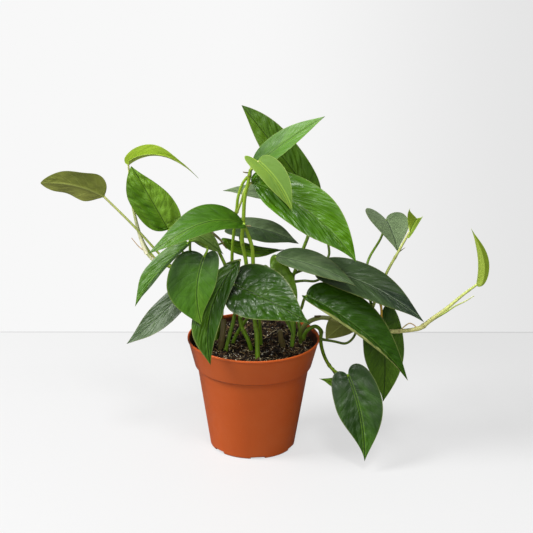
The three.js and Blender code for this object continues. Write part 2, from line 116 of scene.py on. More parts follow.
def ringed(rows: int, wide: int) -> list[np.ndarray]:
    """Works out the faces of closed rings that stand one after another, with a fan over each end.

    Args:
        rows: How many rings there are.
        wide: How many points a ring has. The first and the last fan's middle come after all rings.

    Returns:
        The sides, with four corners a row, and the fans, with three.
    """
    corner = np.arange(wide)
    following = np.roll(corner, -1)
    start = (np.arange(rows - 1) * wide)[:, None]
    near, far = [start + corner, start + following], [start + wide + following, start + wide + corner]
    sides = np.stack(near + far, axis=-1)
    end = (rows - 1) * wide
    fans = np.vstack([
        np.stack([following, corner, np.full(wide, rows * wide)], axis=1),
        np.stack([end + corner, end + following, np.full(wide, rows * wide + 1)], axis=1)])
    return [sides.reshape(-1, 4), fans]


def show(name: str, data: bpy.types.ID) -> bpy.types.Object:
    """Puts a new object into the scene.

    Args:
        name: The object's name.
        data: Its mesh, lamp or camera.

    Returns:
        The object, at the origin.
    """
    shown = bpy.data.objects.new(name, data)
    bpy.context.scene.collection.objects.link(shown)
    return shown


class Draft:
    """The points, faces and surface values of one mesh, gathered from several surfaces."""

    KINDS = {1: ("FLOAT", "value"), 3: ("FLOAT_VECTOR", "vector"), 4: ("FLOAT_COLOR", "color")}

    def __init__(self) -> None:
        """Starts with nothing in it."""
        self.points: list[np.ndarray] = []
        self.corners: list[np.ndarray] = []
        self.sizes: list[np.ndarray] = []
        self.looks: list[np.ndarray] = []
        self.values: dict[str, list[np.ndarray]] = {}
        self.count = 0

    def add(self, points: np.ndarray, faces: list[np.ndarray], looks: tuple[int, ...] = (),
            values: dict[str, np.ndarray] | None = None) -> None:
        """Adds one surface.

        Args:
            points: Its corners in millimetres, one a row.
            faces: Index arrays of three or four columns, counted from this surface's first point.
            looks: Which of the piece's materials each index array wears, or nothing for the first one.
            values: Surface values by name: one number, three or one colour for each point.
        """
        for block, look in zip(faces, looks or (0,) * len(faces)):
            if len(block):
                self.corners.append((block + self.count).ravel())
                self.sizes.append(np.full(len(block), block.shape[1]))
                self.looks.append(np.full(len(block), look))
        for name, numbers in (values or {}).items():
            self.values.setdefault(name, []).append(numbers)
        self.points.append(points)
        self.count += len(points)

    def build(self, name: str, materials: list[bpy.types.Material], sharp: float = 60) -> bpy.types.Object:
        """Makes the Blender object.

        Args:
            name: The piece's name.
            materials: What it wears, in the order that add() numbers them.
            sharp: The angle in degrees from which an edge is drawn sharp.

        Returns:
            The object, at the origin, with its place in its mesh.
        """
        mesh = bpy.data.meshes.new(name)
        sizes = np.concatenate(self.sizes)
        corners = np.concatenate(self.corners)
        mesh.vertices.add(self.count)
        mesh.vertices.foreach_set("co", (np.concatenate(self.points) * MM).ravel())
        mesh.loops.add(len(corners))
        mesh.loops.foreach_set("vertex_index", corners)
        mesh.polygons.add(len(sizes))
        mesh.polygons.foreach_set("loop_start", np.cumsum(sizes) - sizes)
        mesh.polygons.foreach_set("material_index", np.concatenate(self.looks))
        for key, blocks in self.values.items():
            numbers = np.concatenate(blocks)
            columns = 1 if numbers.ndim == 1 else numbers.shape[1]
            kind, slot = self.KINDS[columns]
            mesh.attributes.new(key, kind, "POINT").data.foreach_set(slot, numbers.ravel())
        for material in materials:
            mesh.materials.append(material)
        mesh.update(calc_edges=True)
        mesh.validate()
        mesh.shade_smooth()
        mesh.set_sharp_from_angle(angle=math.radians(sharp))
        return show(name, mesh)


def place(piece: bpy.types.Object, slot: str, *nodes: str) -> None:
    """Makes a piece part of the plant: it rides on the root and stands for its nodes.

    Args:
        piece: The finished piece.
        slot: Not used.
        *nodes: The solids that it replaces, if it does.
    """
    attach(piece, "root")
    if nodes:
        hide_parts(*nodes)
    LOG.info("%s: %d faces", piece.name, len(piece.data.polygons))


class Wiring:
    """Lays out the nodes of a material or a room."""

    def __init__(self, owner: bpy.types.Material | bpy.types.World) -> None:
        """Starts with no nodes at all.

        Args:
            owner: The material or world that the nodes belong to.
        """
        owner.use_nodes = True
        self.tree = owner.node_tree
        self.tree.nodes.clear()

    def feed(self, socket: bpy.types.NodeSocket, value: object) -> None:
        """Links a socket to another one, or sets it to a plain value.

        Args:
            socket: The one that takes it.
            value: The other socket, or the value.
        """
        if isinstance(value, bpy.types.NodeSocket):
            self.tree.links.new(value, socket)
        else:
            socket.default_value = value

    def node(self, kind: str, inputs: dict[object, object] | None = None,
             **settings: object) -> bpy.types.Node:
        """Adds a node.

        Args:
            kind: The end of its type's name, after ShaderNode.
            inputs: What its sockets are linked or set to, by name or number.
            **settings: Its own settings.

        Returns:
            The node.
        """
        made = self.tree.nodes.new(f"ShaderNode{kind}")
        for key, value in settings.items():
            setattr(made, key, value)
        for key, value in (inputs or {}).items():
            self.feed(made.inputs[key], value)
        return made

    def calc(self, operation: str, first: object, second: object = 0.0) -> bpy.types.NodeSocket:
        """Returns the result of a Math node."""
        return self.node("Math", {0: first, 1: second}, operation=operation).outputs[0]

    def ramp(self, value: object, start: float, stop: float,
             low: float = 0, high: float = 1) -> bpy.types.NodeSocket:
        """Returns low where value is at start, high where it is at stop, and a soft step between."""
        inputs = {"Value": value, "From Min": start, "From Max": stop, "To Min": low, "To Max": high}
        return self.node("MapRange", inputs, interpolation_type="SMOOTHSTEP").outputs["Result"]


class Bench(Wiring):
    """Lays out the nodes of one material round a Principled shader."""

    def __init__(self, name: str) -> None:
        """Starts a material whose shader goes straight to its output.

        Args:
            name: The material's name.
        """
        self.material = bpy.data.materials.new(name)
        super().__init__(self.material)
        self.shader = self.node("BsdfPrincipled")
        self.node("OutputMaterial", {"Surface": self.shader.outputs["BSDF"]})
        self.coordinates = self.node("TexCoord").outputs["Object"]

    def surface(self, **inputs: object) -> None:
        """Sets the shader's own sockets, whose names have an underscore for each space."""
        for key, value in inputs.items():
            self.feed(self.shader.inputs[key.replace("_", " ")], value)

    def stretched(self, stretch: Point, where: object = None) -> bpy.types.NodeSocket:
        """Returns a place, at first the point in metres, multiplied along each axis."""
        inputs = {"Vector": where or self.coordinates, "Scale": stretch}
        return self.node("Mapping", inputs).outputs["Vector"]

    def noise(self, scale: float, detail: float = 3, stretch: Point = (1, 1, 1),
              where: object = None) -> bpy.types.NodeSocket:
        """Returns a noise from 0 to 1 with that many waves a unit of the place."""
        inputs = {"Vector": self.stretched(stretch, where), "Scale": scale, "Detail": detail}
        return self.node("TexNoise", inputs).outputs["Fac"]

    def cells(self, scale: float, stretch: Point, where: object) -> bpy.types.NodeSocket:
        """Returns how far a point is from the border of its cell, from 0 to about 0.5."""
        inputs = {"Vector": self.stretched(stretch, where), "Scale": scale}
        return self.node("TexVoronoi", inputs, feature="DISTANCE_TO_EDGE").outputs["Distance"]

    def own(self, name: str, kind: str = "Fac") -> bpy.types.NodeSocket:
        """Returns the mesh's own values of that name: Fac for numbers, or Color or Vector."""
        return self.node("Attribute", attribute_name=name).outputs[kind]

    def mix(self, factor: object, first: object, second: object) -> bpy.types.NodeSocket:
        """Returns two colours mixed."""
        return self.node("Mix", {0: factor, 6: first, 7: second}, data_type="RGBA").outputs[2]

    def bump(self, height: object, depth: float, strength: float = 1,
             under: object = None) -> bpy.types.NodeSocket:
        """Bends the normal after a relief.

        Args:
            height: The relief, from 0 to 1.
            depth: What a height of 1 stands for, in metres.
            strength: How much of the relief shows, from 0 to 1.
            under: The normal that it starts from, if not the surface's own.

        Returns:
            The bent normal.
        """
        inputs = {"Height": height, "Distance": depth, "Strength": strength}
        if under is not None:
            inputs["Normal"] = under
        return self.node("Bump", inputs).outputs["Normal"]


# The colour of a rib underneath, and of the bloom on the wax.
PALE_RIB: Rgb = (164, 176, 92)
WAX_BLOOM: Rgb = (222, 226, 226)


@dataclass(frozen=True)
class LeafFinish:
    """The two faces of a blade: waxy and puckered above, paler and dull underneath.

    Attributes:
        name: Its name, which starts its materials' names.
        body: The colour of the upper face.
        shade: The darker colour: painted shade on shaded halves and ends and in the sunken veins and creases,
            and the deeper tone of some blades.
        glow: The brighter colour: painted light and highlights on lit halves and ends and beside the midrib,
            and the paler tone of some blades.
        under: The colour of the lower face.
        rough: How dull the wax is.
        bloom: How much of a pale bloom lies on the wax.
    """

    # Cells and clouds in waves a mm, how strongly each kind of line is darkened with painted shade, and
    # depths in metres.
    CELL = 0.21
    CLOUD, CLOUD_SPREAD = 0.07, 1.3
    RIB_DARK, VEIN_DARK, NET_DARK = 0.7, 0.32, 0.22
    PUCKER_DEPTH, VEIN_DEPTH, GRAIN_DEPTH = 0.0005, -0.0002, 0.00012
    LOWER_CELL, LOWER_LINES = 0.34, 0.55
    LOWER_VEIN_DEPTH = 0.00016

    name: str
    body: Rgb
    shade: Rgb
    glow: Rgb
    under: Rgb
    rough: float = 0.36
    bloom: float = 0.0

    def vein_lines(self, bench: Bench) -> tuple[bpy.types.NodeSocket, ...]:
        """Finds the lines on a blade from its own values, across in mm and the count of veins.

        Args:
            bench: Where the nodes go.

        Returns:
            How far off the midrib a point is, and how much of it is midrib and how much side vein.
        """
        off = bench.calc("ABSOLUTE", bench.own("across"))
        phase = bench.calc("PINGPONG", bench.own("vein"), 0.5)
        return off, bench.ramp(off, 0.2, 0.75, 1, 0), bench.ramp(phase, 0.0, 0.09, 1, 0)

    def upper(self) -> bpy.types.Material:
        """Makes the upper face: slow clouds of colour with each blade's own tone and its painted light and
        shade, painted shade in the creases round small puckered cells and in the sunken veins, and a paler
        band beside the midrib that is partly its own colour and partly a painted highlight.

        Returns:
            The material, waxy where the relief is strong and duller where the blade is flat.
        """
        bench = Bench(f"{self.name}_upper")
        off, rib, side = self.vein_lines(bench)
        weave, relief = bench.own("weave", "Vector"), bench.own("relief")
        border = bench.cells(self.CELL, (1, 0.75, 1), weave)
        clouds = bench.calc("SUBTRACT", bench.noise(self.CLOUD, where=weave), 0.5)
        clouds = bench.calc("MULTIPLY", clouds, self.CLOUD_SPREAD)
        # Painted light and shade: the level adds each blade's lit or shaded halves and ends, and its
        # highlights, to its own tone and the clouds.
        level = bench.calc("ADD", bench.own("tone_and_painted_light"), clouds)
        dark = bench.mix(bench.ramp(level, 0.0, -1.0), linear(self.body), linear(self.shade))
        bright = bench.mix(bench.ramp(level, 0.0, 1.0), dark, linear(self.glow))
        # Painted shade in the grooves: the cell borders, side veins and midrib darken towards shade, more
        # where the relief is deeper.
        net = bench.calc("MULTIPLY", bench.ramp(border, 0.0, 0.07, 1, 0), self.NET_DARK)
        fine = bench.calc("MAXIMUM", bench.calc("MULTIPLY", side, self.VEIN_DARK), net)
        lines = bench.calc("MULTIPLY", fine, bench.ramp(relief, 0.0, 0.6, 0.35, 1.0))
        lines = bench.calc("MAXIMUM", bench.calc("MULTIPLY", rib, self.RIB_DARK), lines)
        creased = bench.mix(lines, bright, linear(self.shade))
        # A paler band beside the midrib: partly its own paler colour, partly a painted highlight on the
        # groove's edges.
        beside = bench.calc("MULTIPLY", bench.ramp(off, 0.5, 0.9), bench.ramp(off, 0.9, 1.7, 0.5, 0))
        ribbed = bench.mix(beside, creased, linear(self.glow))
        colour = bench.mix(bench.own("rim"), ribbed, linear(self.under))
        blotches = bench.noise(0.5, where=weave)
        dull = bench.ramp(blotches, 0.3, 0.7, self.rough - 0.07, self.rough + 0.09)
        rough = bench.calc("ADD", dull, bench.ramp(relief, 0.3, 1.0, 0.14, 0.0))
        cushions = bench.calc("MULTIPLY", bench.ramp(border, 0.0, 0.4), relief)
        pucker = bench.bump(cushions, self.PUCKER_DEPTH, 0.5)
        veined = bench.bump(bench.calc("MULTIPLY", side, relief), self.VEIN_DEPTH, 0.5, pucker)
        normal = bench.bump(bench.noise(0.6, 2, (1, 0.4, 1), weave), self.GRAIN_DEPTH, 0.4, veined)
        bench.surface(Base_Color=colour, Roughness=rough, Normal=normal, IOR=1.38)
        bench.surface(Sheen_Weight=self.bloom, Sheen_Roughness=0.4, Sheen_Tint=linear(WAX_BLOOM))
        return bench.material

    def lower(self) -> bpy.types.Material:
        """Makes the lower face and the margin: dull and patchy, with raised pale ribs, and the blade's
        painted light and shade.

        Returns:
            The material.
        """
        bench = Bench(f"{self.name}_lower")
        _, rib, side = self.vein_lines(bench)
        weave, tone_and_painted_light = bench.own("weave", "Vector"), bench.own("tone_and_painted_light")
        patches = bench.ramp(bench.noise(0.12, 4, where=weave), 0.3, 0.7, 0.0, 0.4)
        net = bench.ramp(bench.cells(self.LOWER_CELL, (1, 0.55, 1), weave), 0.0, 0.12, 0.2, 0)
        fine = bench.calc("MAXIMUM", bench.calc("MULTIPLY", side, 0.35), net)
        lines = bench.calc("MULTIPLY", bench.calc("MAXIMUM", rib, fine), self.LOWER_LINES)
        body = bench.mix(patches, linear(self.under), linear(self.body))
        # Painted light and shade: lit halves and ends go towards glow and shaded ones towards body, with the
        # blade's own tone.
        lit = bench.mix(bench.ramp(tone_and_painted_light, 0.0, 1.0, 0, 0.7), body, linear(self.glow))
        lit = bench.mix(bench.ramp(tone_and_painted_light, 0.0, -1.0, 0, 0.7), lit, linear(self.body))
        colour = bench.mix(lines, lit, linear(PALE_RIB))
        normal = bench.bump(side, self.LOWER_VEIN_DEPTH, 0.5)
        bench.surface(Base_Color=colour, Roughness=0.52, Normal=normal, IOR=1.42)
        return bench.material


class Tone(Enum):
    """The finishes that the blades have, from old dark leaves to new ones."""

    DEEP = LeafFinish("leaf_deep", (40, 74, 5), (12, 26, 4), (78, 114, 16), (140, 146, 84), 0.32)
    MIDDLE = LeafFinish("leaf_middle", (58, 100, 5), (25, 52, 4), (102, 140, 34), (120, 136, 60), 0.36)
    BRIGHT = LeafFinish("leaf_bright", (74, 120, 4), (40, 78, 4), (108, 138, 60), (130, 154, 56), 0.32)
    # LIME's lower face is paler than a young blade's own underside: painted light for the light that shines
    # through it.
    LIME = LeafFinish("leaf_lime", (130, 156, 34), (94, 128, 44), (166, 192, 62), (200, 216, 112), 0.44)
    SHEEN = LeafFinish("leaf_sheen", (56, 78, 40), (26, 42, 26), (108, 128, 88), (122, 128, 60), 0.36, 0.14)
    OLIVE = LeafFinish("leaf_olive", (96, 112, 30), (66, 80, 20), (146, 150, 74), (112, 122, 42), 0.5)


@dataclass(frozen=True)
class Leaf:
    """The form of one blade, as its solid has it, with the fine form that only the render shows.

    Pairs hold the left half and then the right half, as seen on the upper side from the base.

    Attributes:
        node: The solid that the blade stands for, without its leaf_ prefix.
        base: The start of the midrib.
        tip: The end of the midrib.
        face: The way that the upper side looks.
        widths: How far each half reaches out.
        tone: The finish.
        lobe: How far each basal lobe reaches back.
        widest: Where each half is widest, as a share of the length.
        taper: How full each half stays towards the tip.
        draw: How much of the side the drawn-out tip takes, as a share.
        arch: How far the midrib rises from the straight line.
        sway: How far it bends to the left.
        peak: Where along the length it bends most.
        fold: How far the halves lift from the midrib, in degrees.
        wave: How far the margin ripples.
        waves: How many ripples the margin has.
        quilt: How far the skin bulges between the veins.
        rim: How much of each half shows its curled margin, in the lower face's colour, as a share.
        light: How bright the left and the right half are, from -1 for the shade to 1 for the glow: partly the
            blade's own tone, partly painted light and shade where a half is lit, shaded or shows a highlight.
        ends: How much brighter the base and the tip are than the rest: partly their own tone, partly painted
            light and shade, as on a base in the shade of the leaves above.
    """

    node: str
    base: Point
    tip: Point
    face: Point
    widths: Pair
    tone: Tone
    lobe: Pair = (5, 5)
    widest: Pair = (0.32, 0.32)
    taper: Pair = (0.12, 0.12)
    draw: float = 0.3
    arch: float = 0
    sway: float = 0
    peak: float = 0.5
    fold: float = 8
    wave: float = 0
    waves: float = 2
    quilt: float = 0.5
    rim: Pair = (0, 0)
    light: Pair = (0, 0)
    ends: Pair = (0, 0)


# Each blade's light and ends paint light and shade onto its halves, base and tip, as well as setting its own
# tone.
LEAVES: tuple[Leaf, ...] = (
    Leaf("far_left", (-134, 0, 237), (-189, -12, 253), (0.05, 0.95, 0.2), (16.5, 12), Tone.OLIVE,
         lobe=(-2, -3), widest=(0.3, 0.3), taper=(0.45, 0.75), draw=0.1, sway=5, fold=3, wave=2.5, waves=1.6,
         quilt=0.25, light=(0.4, 1.3), ends=(0, 0.1)),
    Leaf("lime_arching", (-113, 13, 263), (-50, 0, 255), (0.2, -0.57, 0.8), (10, 6.5), Tone.LIME,
         lobe=(2, -3), widest=(0.25, 0.22), taper=(0.02, 0.02), draw=0.65, arch=22, fold=55,
         ends=(0.3, -0.2), light=(0.1, 1.0), quilt=0.15),
    Leaf("upright_quilted", (-77, -2, 207.5), (-110, 6, 264), (0.1, -0.85, 0.5), (19, 17.5), Tone.MIDDLE,
         lobe=(-3, 3), widest=(0.5, 0.24), taper=(0.8, 0.27), arch=2, ends=(-0.2, 0.2), light=(0.5, 1.1),
         quilt=1.0),
    Leaf("front_arch", (-10, -12, 217), (-93, -45, 200), (-0.2, -0.5, 0.85), (14, 21), Tone.MIDDLE,
         lobe=(0, 1), widest=(0.45, 0.27), taper=(0.3, 0.32), arch=16, peak=0.42, fold=4, quilt=0.35,
         light=(-0.1, -0.2), ends=(-0.3, 0.3)),
    Leaf("folded_left", (-59, -22, 201), (-105, -40, 148), (-0.64, -0.48, 0.73), (10, 13), Tone.MIDDLE,
         lobe=(2, 0), widest=(0.4, 0.55), taper=(0.25, 0.25), arch=4, fold=25, quilt=0.3, light=(-0.7, 0.1)),
    Leaf("low_left", (-58, -5, 156), (-114, -22, 105), (-0.35, -0.7, 0.6), (14, 12), Tone.SHEEN,
         widest=(0.42, 0.42), taper=(0.35, 0.35), arch=3, sway=4, fold=6, quilt=0.35, light=(0.1, 0.1)),
    Leaf("heart_left", (-44, -38, 195), (-45, -58, 138), (-0.1, -0.8, 0.6), (17, 27), Tone.MIDDLE,
         lobe=(8, 1.5), widest=(0.3, 0.42), taper=(0.15, 0.3), arch=3, sway=-5, fold=6, light=(-0.2, -0.3),
         quilt=0.3, ends=(-0.9, 0.7)),
    Leaf("lit_small", (-54, -14, 209), (-27, -20, 191), (0.1, -0.7, 0.7), (9, 8), Tone.BRIGHT,
         lobe=(3, 3), arch=2, fold=6, quilt=0.25, light=(1.1, 1.1)),
    Leaf("dark_hanging", (-12, -28, 189), (-37, -67, 104), (-0.15, -0.85, 0.5), (11.5, 15), Tone.DEEP,
         lobe=(-6, -10), widest=(0.5, 0.65), taper=(0.3, 0.3), arch=5, sway=-12, fold=10, quilt=0.6,
         light=(-0.1, 0.3)),
    Leaf("front_heart", (-18, -24, 164), (51, -50, 137), (0.1, -0.75, 0.65), (28, 25.5), Tone.DEEP,
         lobe=(5, 1), widest=(0.32, 0.2), taper=(0.12, 0.2), arch=4, fold=6, light=(0.1, 0.1),
         ends=(-1.4, 0.1), quilt=0.9),
    Leaf("behind_heart", (15, -4, 171), (36, -22, 113), (0.3, -0.85, 0.45), (17, 10), Tone.MIDDLE,
         lobe=(12, 6), widest=(0.25, 0.25), arch=3, fold=6, quilt=0.5, ends=(0.4, 0.1), light=(1.2, 1.3)),
    Leaf("blue_grazing", (19, -8, 185), (90, -34, 168), (0.15, -0.25, 0.95), (20, 16), Tone.SHEEN,
         lobe=(-1, -4), widest=(0.32, 0.45), taper=(0.35, 0.25), arch=5, fold=5, quilt=0.35,
         light=(0.2, 0.4)),
    Leaf("narrow_dark", (-27, 22, 188), (27, 28, 179), (0, -0.3, 1), (8, 14), Tone.DEEP,
         lobe=(3, 3), taper=(0.3, 0.3), arch=-5, fold=6, light=(1.2, 1.2)),
    Leaf("back_dark", (-13, 34, 199), (40, 22, 187), (0.1, -0.3, 0.95), (15, 21), Tone.SHEEN,
         lobe=(12, 12), taper=(0.4, 0.4), arch=4, fold=5, quilt=0.4, light=(0.5, -0.1)),
    Leaf("back_grazing", (33, 34, 228), (-29, 24, 236), (0, -0.2, 1), (16, 16), Tone.SHEEN,
         taper=(0.3, 0.3), arch=2, fold=4, quilt=0.3, light=(1.2, 1.2)),
    Leaf("top_back", (51, 30, 230), (-13, 45, 310), (0.2, -0.85, 0.5), (14, 17.5), Tone.DEEP,
         lobe=(4, 4), widest=(0.4, 0.4), taper=(0.4, 0.8), arch=3, fold=6, quilt=0.4, light=(1.5, 0.5),
         ends=(-0.3, 0)),
    Leaf("top_pointing", (1, 10, 265), (61, 2, 313), (-0.1, -0.6, 0.8), (13, 11), Tone.BRIGHT,
         lobe=(1, 2), taper=(0.4, 0.4), arch=3, quilt=0.12, ends=(-0.5, 0.5), light=(-0.35, -0.25)),
    Leaf("lime_down", (3, -8, 274), (33, -28, 235), (0.1, -0.8, 0.6), (12.5, 10.5), Tone.LIME,
         lobe=(1, 12), widest=(0.27, 0.32), taper=(0.3, 0.35), arch=3, sway=3, fold=12, quilt=0.12,
         light=(-1.1, -0.8)),
    Leaf("bright_big", (-3, 0, 252), (90, -36, 191), (0.1, -0.75, 0.65), (24, 20.5), Tone.BRIGHT,
         lobe=(0, -9), widest=(0.46, 0.45), taper=(0.42, 0.25), arch=6, sway=8, fold=6, ends=(0, 0.2),
         quilt=0.8, light=(-0.2, -0.5)),
    Leaf("right_dark", (65, -4, 171), (152, -34, 134), (0.2, -0.5, 0.85), (21, 19), Tone.SHEEN,
         lobe=(8, 8), taper=(0.3, 0.25), arch=6, sway=3, fold=5, quilt=0.4, light=(-0.2, -0.1),
         ends=(0.3, -0.9)),
    Leaf("right_big", (47, -22, 153), (139, -40, 80), (0.45, -0.55, 0.7), (26, 11), Tone.DEEP,
         lobe=(0, 3), taper=(0.35, 0.2), arch=8, sway=3, fold=20, quilt=0.5, light=(-0.1, 0), rim=(0, 0.38)),
    Leaf("hanging_right", (116, 2, 121), (119, -8, 45), (0.15, -0.95, 0.3), (18, 20), Tone.DEEP,
         lobe=(14, 14), taper=(0.4, 0.15), arch=3, sway=2, fold=6, quilt=0.3, light=(0.7, 0.7),
         ends=(-0.7, 0.4)),
    Leaf("low_heart", (86, -28, 79), (101, -64, 11), (0.1, -0.9, 0.4), (22, 21), Tone.MIDDLE,
         lobe=(8, 7), taper=(0.25, 0.1), arch=3, sway=4, fold=5, ends=(-0.2, 0.1), quilt=0.35,
         light=(-0.7, -0.8)),
    Leaf("hidden_tip", (91, -8, 54), (60, -14, 70), (0, -0.5, 0.87), (8, 8), Tone.MIDDLE,
         lobe=(3, 3), arch=2, quilt=0.2, light=(1.2, 1.2)),
    Leaf("olive_under", (98, 4, 129), (66, 8, 100), (0.1, 0.85, 0.5), (15, 15), Tone.OLIVE,
         widest=(0.45, 0.45), taper=(0.6, 0.6), arch=2, fold=4, quilt=0.2, light=(0.7, 0.7)),
    Leaf("back_heart", (120, 48, 202), (129, 2, 187), (0.05, -0.2, 0.97), (18, 21), Tone.SHEEN,
         lobe=(8, 17), widest=(0.3, 0.12), taper=(0.12, 0.3), arch=3, fold=22, quilt=0.3, light=(0.7, 0.9)),
    Leaf("new_cup", (138, -4, 208), (144, -6, 222), (0, -0.95, 0.3), (10, 4), Tone.LIME,
         lobe=(-8, 5), widest=(1.55, 1.42), taper=(0.3, 0.3), arch=-1, fold=12, quilt=0.06,
         light=(0.1, -0.3)),
    Leaf("young_upright", (202, 10, 154), (194, 6, 209), (0.95, -0.25, 0.1), (7, 10), Tone.LIME,
         lobe=(1, 2), widest=(0.28, 0.28), taper=(0.15, 0.15), arch=4, fold=60, quilt=0.06,
         light=(-1.4, 0.3)),
)


class Blade:
    """A leaf blade: a thin closed sheet, bent along its midrib and quilted between its veins."""

    # The outline: how much of the margin is lobe, and how its two curves start, turn and run on.
    LOBE_SHARE, LOBE_NECK, LOBE_TURN = 0.36, 0.16, 0.4
    SIDE_HOLD = 0.42
    # The bend: how far the veins sweep, and how far the right margin's ripples lag, in radians.
    VEIN_SWEEP = 1.2
    WAVE_LAG = 1.9
    NEARBY = 1e-4
    # The side veins: the gap between them in mm, and how far the right ones lag, in veins.
    VEIN_SPACING = 7.2
    VEIN_LAG = 0.4
    # Heights and widths in mm, and the width of a side vein as a share of the gap.
    THICKNESS, EDGE_THINNING = 0.42, 0.45
    SWELL, PUCKER, SLOW = 0.25, 0.4, 0.75
    GROOVE, GROOVE_WIDTH = 0.28, 0.8
    RIB, RIB_WIDTH = 0.75, 0.9
    VEIN_RIB, VEIN_WIDTH = 0.12, 0.1
    # The colour: how broad the bare margin is, how strongly it shows, and where puckers are at full.
    BARE_RIM, RIM_SHOWN, CURL_SHOWN = 0.03, 0.45, 0.9
    FULL_QUILT = 0.6
    UPPER, LOWER = 0, 1
    # The grid: strips along the margin, and cells of a half from the midrib to the margin.
    ROWS, CELLS = 120, 22
    WIDE = 2 * CELLS + 1

    def __init__(self, leaf: Leaf) -> None:
        """Works out the blade's own axes.

        Args:
            leaf: The blade's row of the table.
        """
        self.leaf = leaf
        self.start = np.array(leaf.base, float)
        self.chord = np.array(leaf.tip, float) - self.start
        self.length = float(np.linalg.norm(self.chord))
        forward = self.chord / self.length
        face = np.array(leaf.face, float)
        self.up = unit(face - (face @ forward) * forward)
        left = np.cross(self.up, forward)
        self.rise = leaf.arch * self.up + leaf.sway * left
        self.draws = np.random.default_rng(sum(map(ord, leaf.node)))

    def margin(self, half: int, t: np.ndarray) -> np.ndarray:
        """Follows the outline of one half in the flat, as two Bezier curves: lobe and side.

        Args:
            half: 0 for the left half and 1 for the right one.
            t: Where along the margin, from 0 at the base to 1 at the tip.

        Returns:
            How far along the midrib and how far out from it each point lies.
        """
        leaf = self.leaf
        width = leaf.widths[half]
        widest = leaf.widest[half] * self.length
        rest = self.length - widest
        turn = self.LOBE_TURN
        back = (leaf.lobe[half] + turn**3 * widest) / (3 * turn * (1 - turn))
        lobe = np.array([(0, 0), (-back, self.LOBE_NECK * width), (-back, width), (widest, width)])
        side = np.array([(widest, width), (widest + self.SIDE_HOLD * rest, width),
                         (self.length - leaf.draw * rest, leaf.taper[half] * width), (self.length, 0)])
        share = self.LOBE_SHARE
        first = bezier(lobe, np.clip(t / share, 0, 1))
        second = bezier(side, np.clip((t - share) / (1 - share), 0, 1))
        return np.where((t < share)[:, None], first, second)

    def arching(self, share: np.ndarray) -> np.ndarray:
        """Works out x^a (1-x)^b over its own top: 1 at the leaf's peak and 0 at both ends.

        Args:
            share: How far along the leaf each point is, from 0 to 1.

        Returns:
            How much of the arch and of the sway each point has.
        """
        least = min(self.leaf.peak, 1 - self.leaf.peak)
        before = self.leaf.peak / least
        after = (1 - self.leaf.peak) / least
        top = self.leaf.peak**before * (1 - self.leaf.peak) ** after
        return share**before * (1 - share) ** after / top

    def midrib(self, share: np.ndarray) -> np.ndarray:
        """Returns the midrib's points: the chord, plus the arch and sway times arching()."""
        return self.start + share[..., None] * self.chord + self.arching(share)[..., None] * self.rise

    def axes(self, share: np.ndarray) -> tuple[np.ndarray, np.ndarray, np.ndarray]:
        """Works out the midrib's own directions from two points close to each other.

        Args:
            share: Where along its length, from 0 to 1.

        Returns:
            Forward, left and up, each of length 1.
        """
        ahead = self.midrib(np.minimum(share + self.NEARBY, 1))
        forward = unit(ahead - self.midrib(np.maximum(share - self.NEARBY, 0)))
        up = unit(self.up - (forward @ self.up)[..., None] * forward)
        return forward, np.cross(up, forward), up

    def surface(self) -> tuple[np.ndarray, dict[str, np.ndarray]]:
        """Works out the middle of the sheet on its grid.

        A row starts on the midrib at length t^2 and sweeps to the margin point t as out^1.2, as a side
        vein does. Each half lifts by sin(fold), and its margin ripples as a sine times out^2.

        Returns:
            The grid of points, and what the later steps need of it: t, out, across and half.
        """
        leaf = self.leaf
        t = np.linspace(0, 1, self.ROWS + 1)
        u = np.linspace(-1, 1, self.WIDE)
        out = np.abs(u)[None, :] * np.ones((self.ROWS + 1, 1))
        half = (u > 0).astype(int)
        side = np.where(half == 0, 1.0, -1.0)
        edges = np.stack([self.margin(0, t), self.margin(1, t)], axis=1)[:, half]
        foot = (self.length * t**2)[:, None]
        along = foot + (edges[..., 0] - foot) * out**self.VEIN_SWEEP
        across = edges[..., 1] * out
        share = np.clip(along / self.length, 0, 1)
        forward, left, up = self.axes(share)
        fold = math.radians(leaf.fold)
        ripple = np.sin(2 * math.pi * leaf.waves * along / self.length + half * self.WAVE_LAG)
        widths = np.array(leaf.widths)[half]
        height = across * math.sin(fold) + leaf.wave * ripple * (across / widths) ** 2
        points = self.midrib(share) + (along - share * self.length)[..., None] * forward
        points = points + (side * across * math.cos(fold))[..., None] * left + height[..., None] * up
        grid = {"t": t[:, None] + 0 * out, "out": out, "across": side * across, "half": half + 0 * out}
        return points, grid

    def normals(self, points: np.ndarray) -> np.ndarray:
        """Works out the normals as the cross product of the sheet's two grid directions.

        Args:
            points: The sheet's grid.

        Returns:
            A direction of length 1 for each point. The first and the last row take their neighbours'.
        """
        normal = np.cross(np.gradient(points, axis=0), -np.gradient(points, axis=1))
        normal[0] = normal[1:4].mean(axis=(0, 1))
        normal[-1] = normal[-4:-1].mean(axis=(0, 1))
        return unit(normal)

    def phase(self, grid: dict[str, np.ndarray]) -> np.ndarray:
        """Counts the side veins from the base, with n (t + t^2) / 2 of them up to t.

        Args:
            grid: The values from surface().

        Returns:
            The count at each point, a whole number on each vein.
        """
        count = max(4, round(self.length / self.VEIN_SPACING))
        t = grid["t"]
        return count * (0.5 * t + 0.5 * t**2) + self.VEIN_LAG * grid["half"]

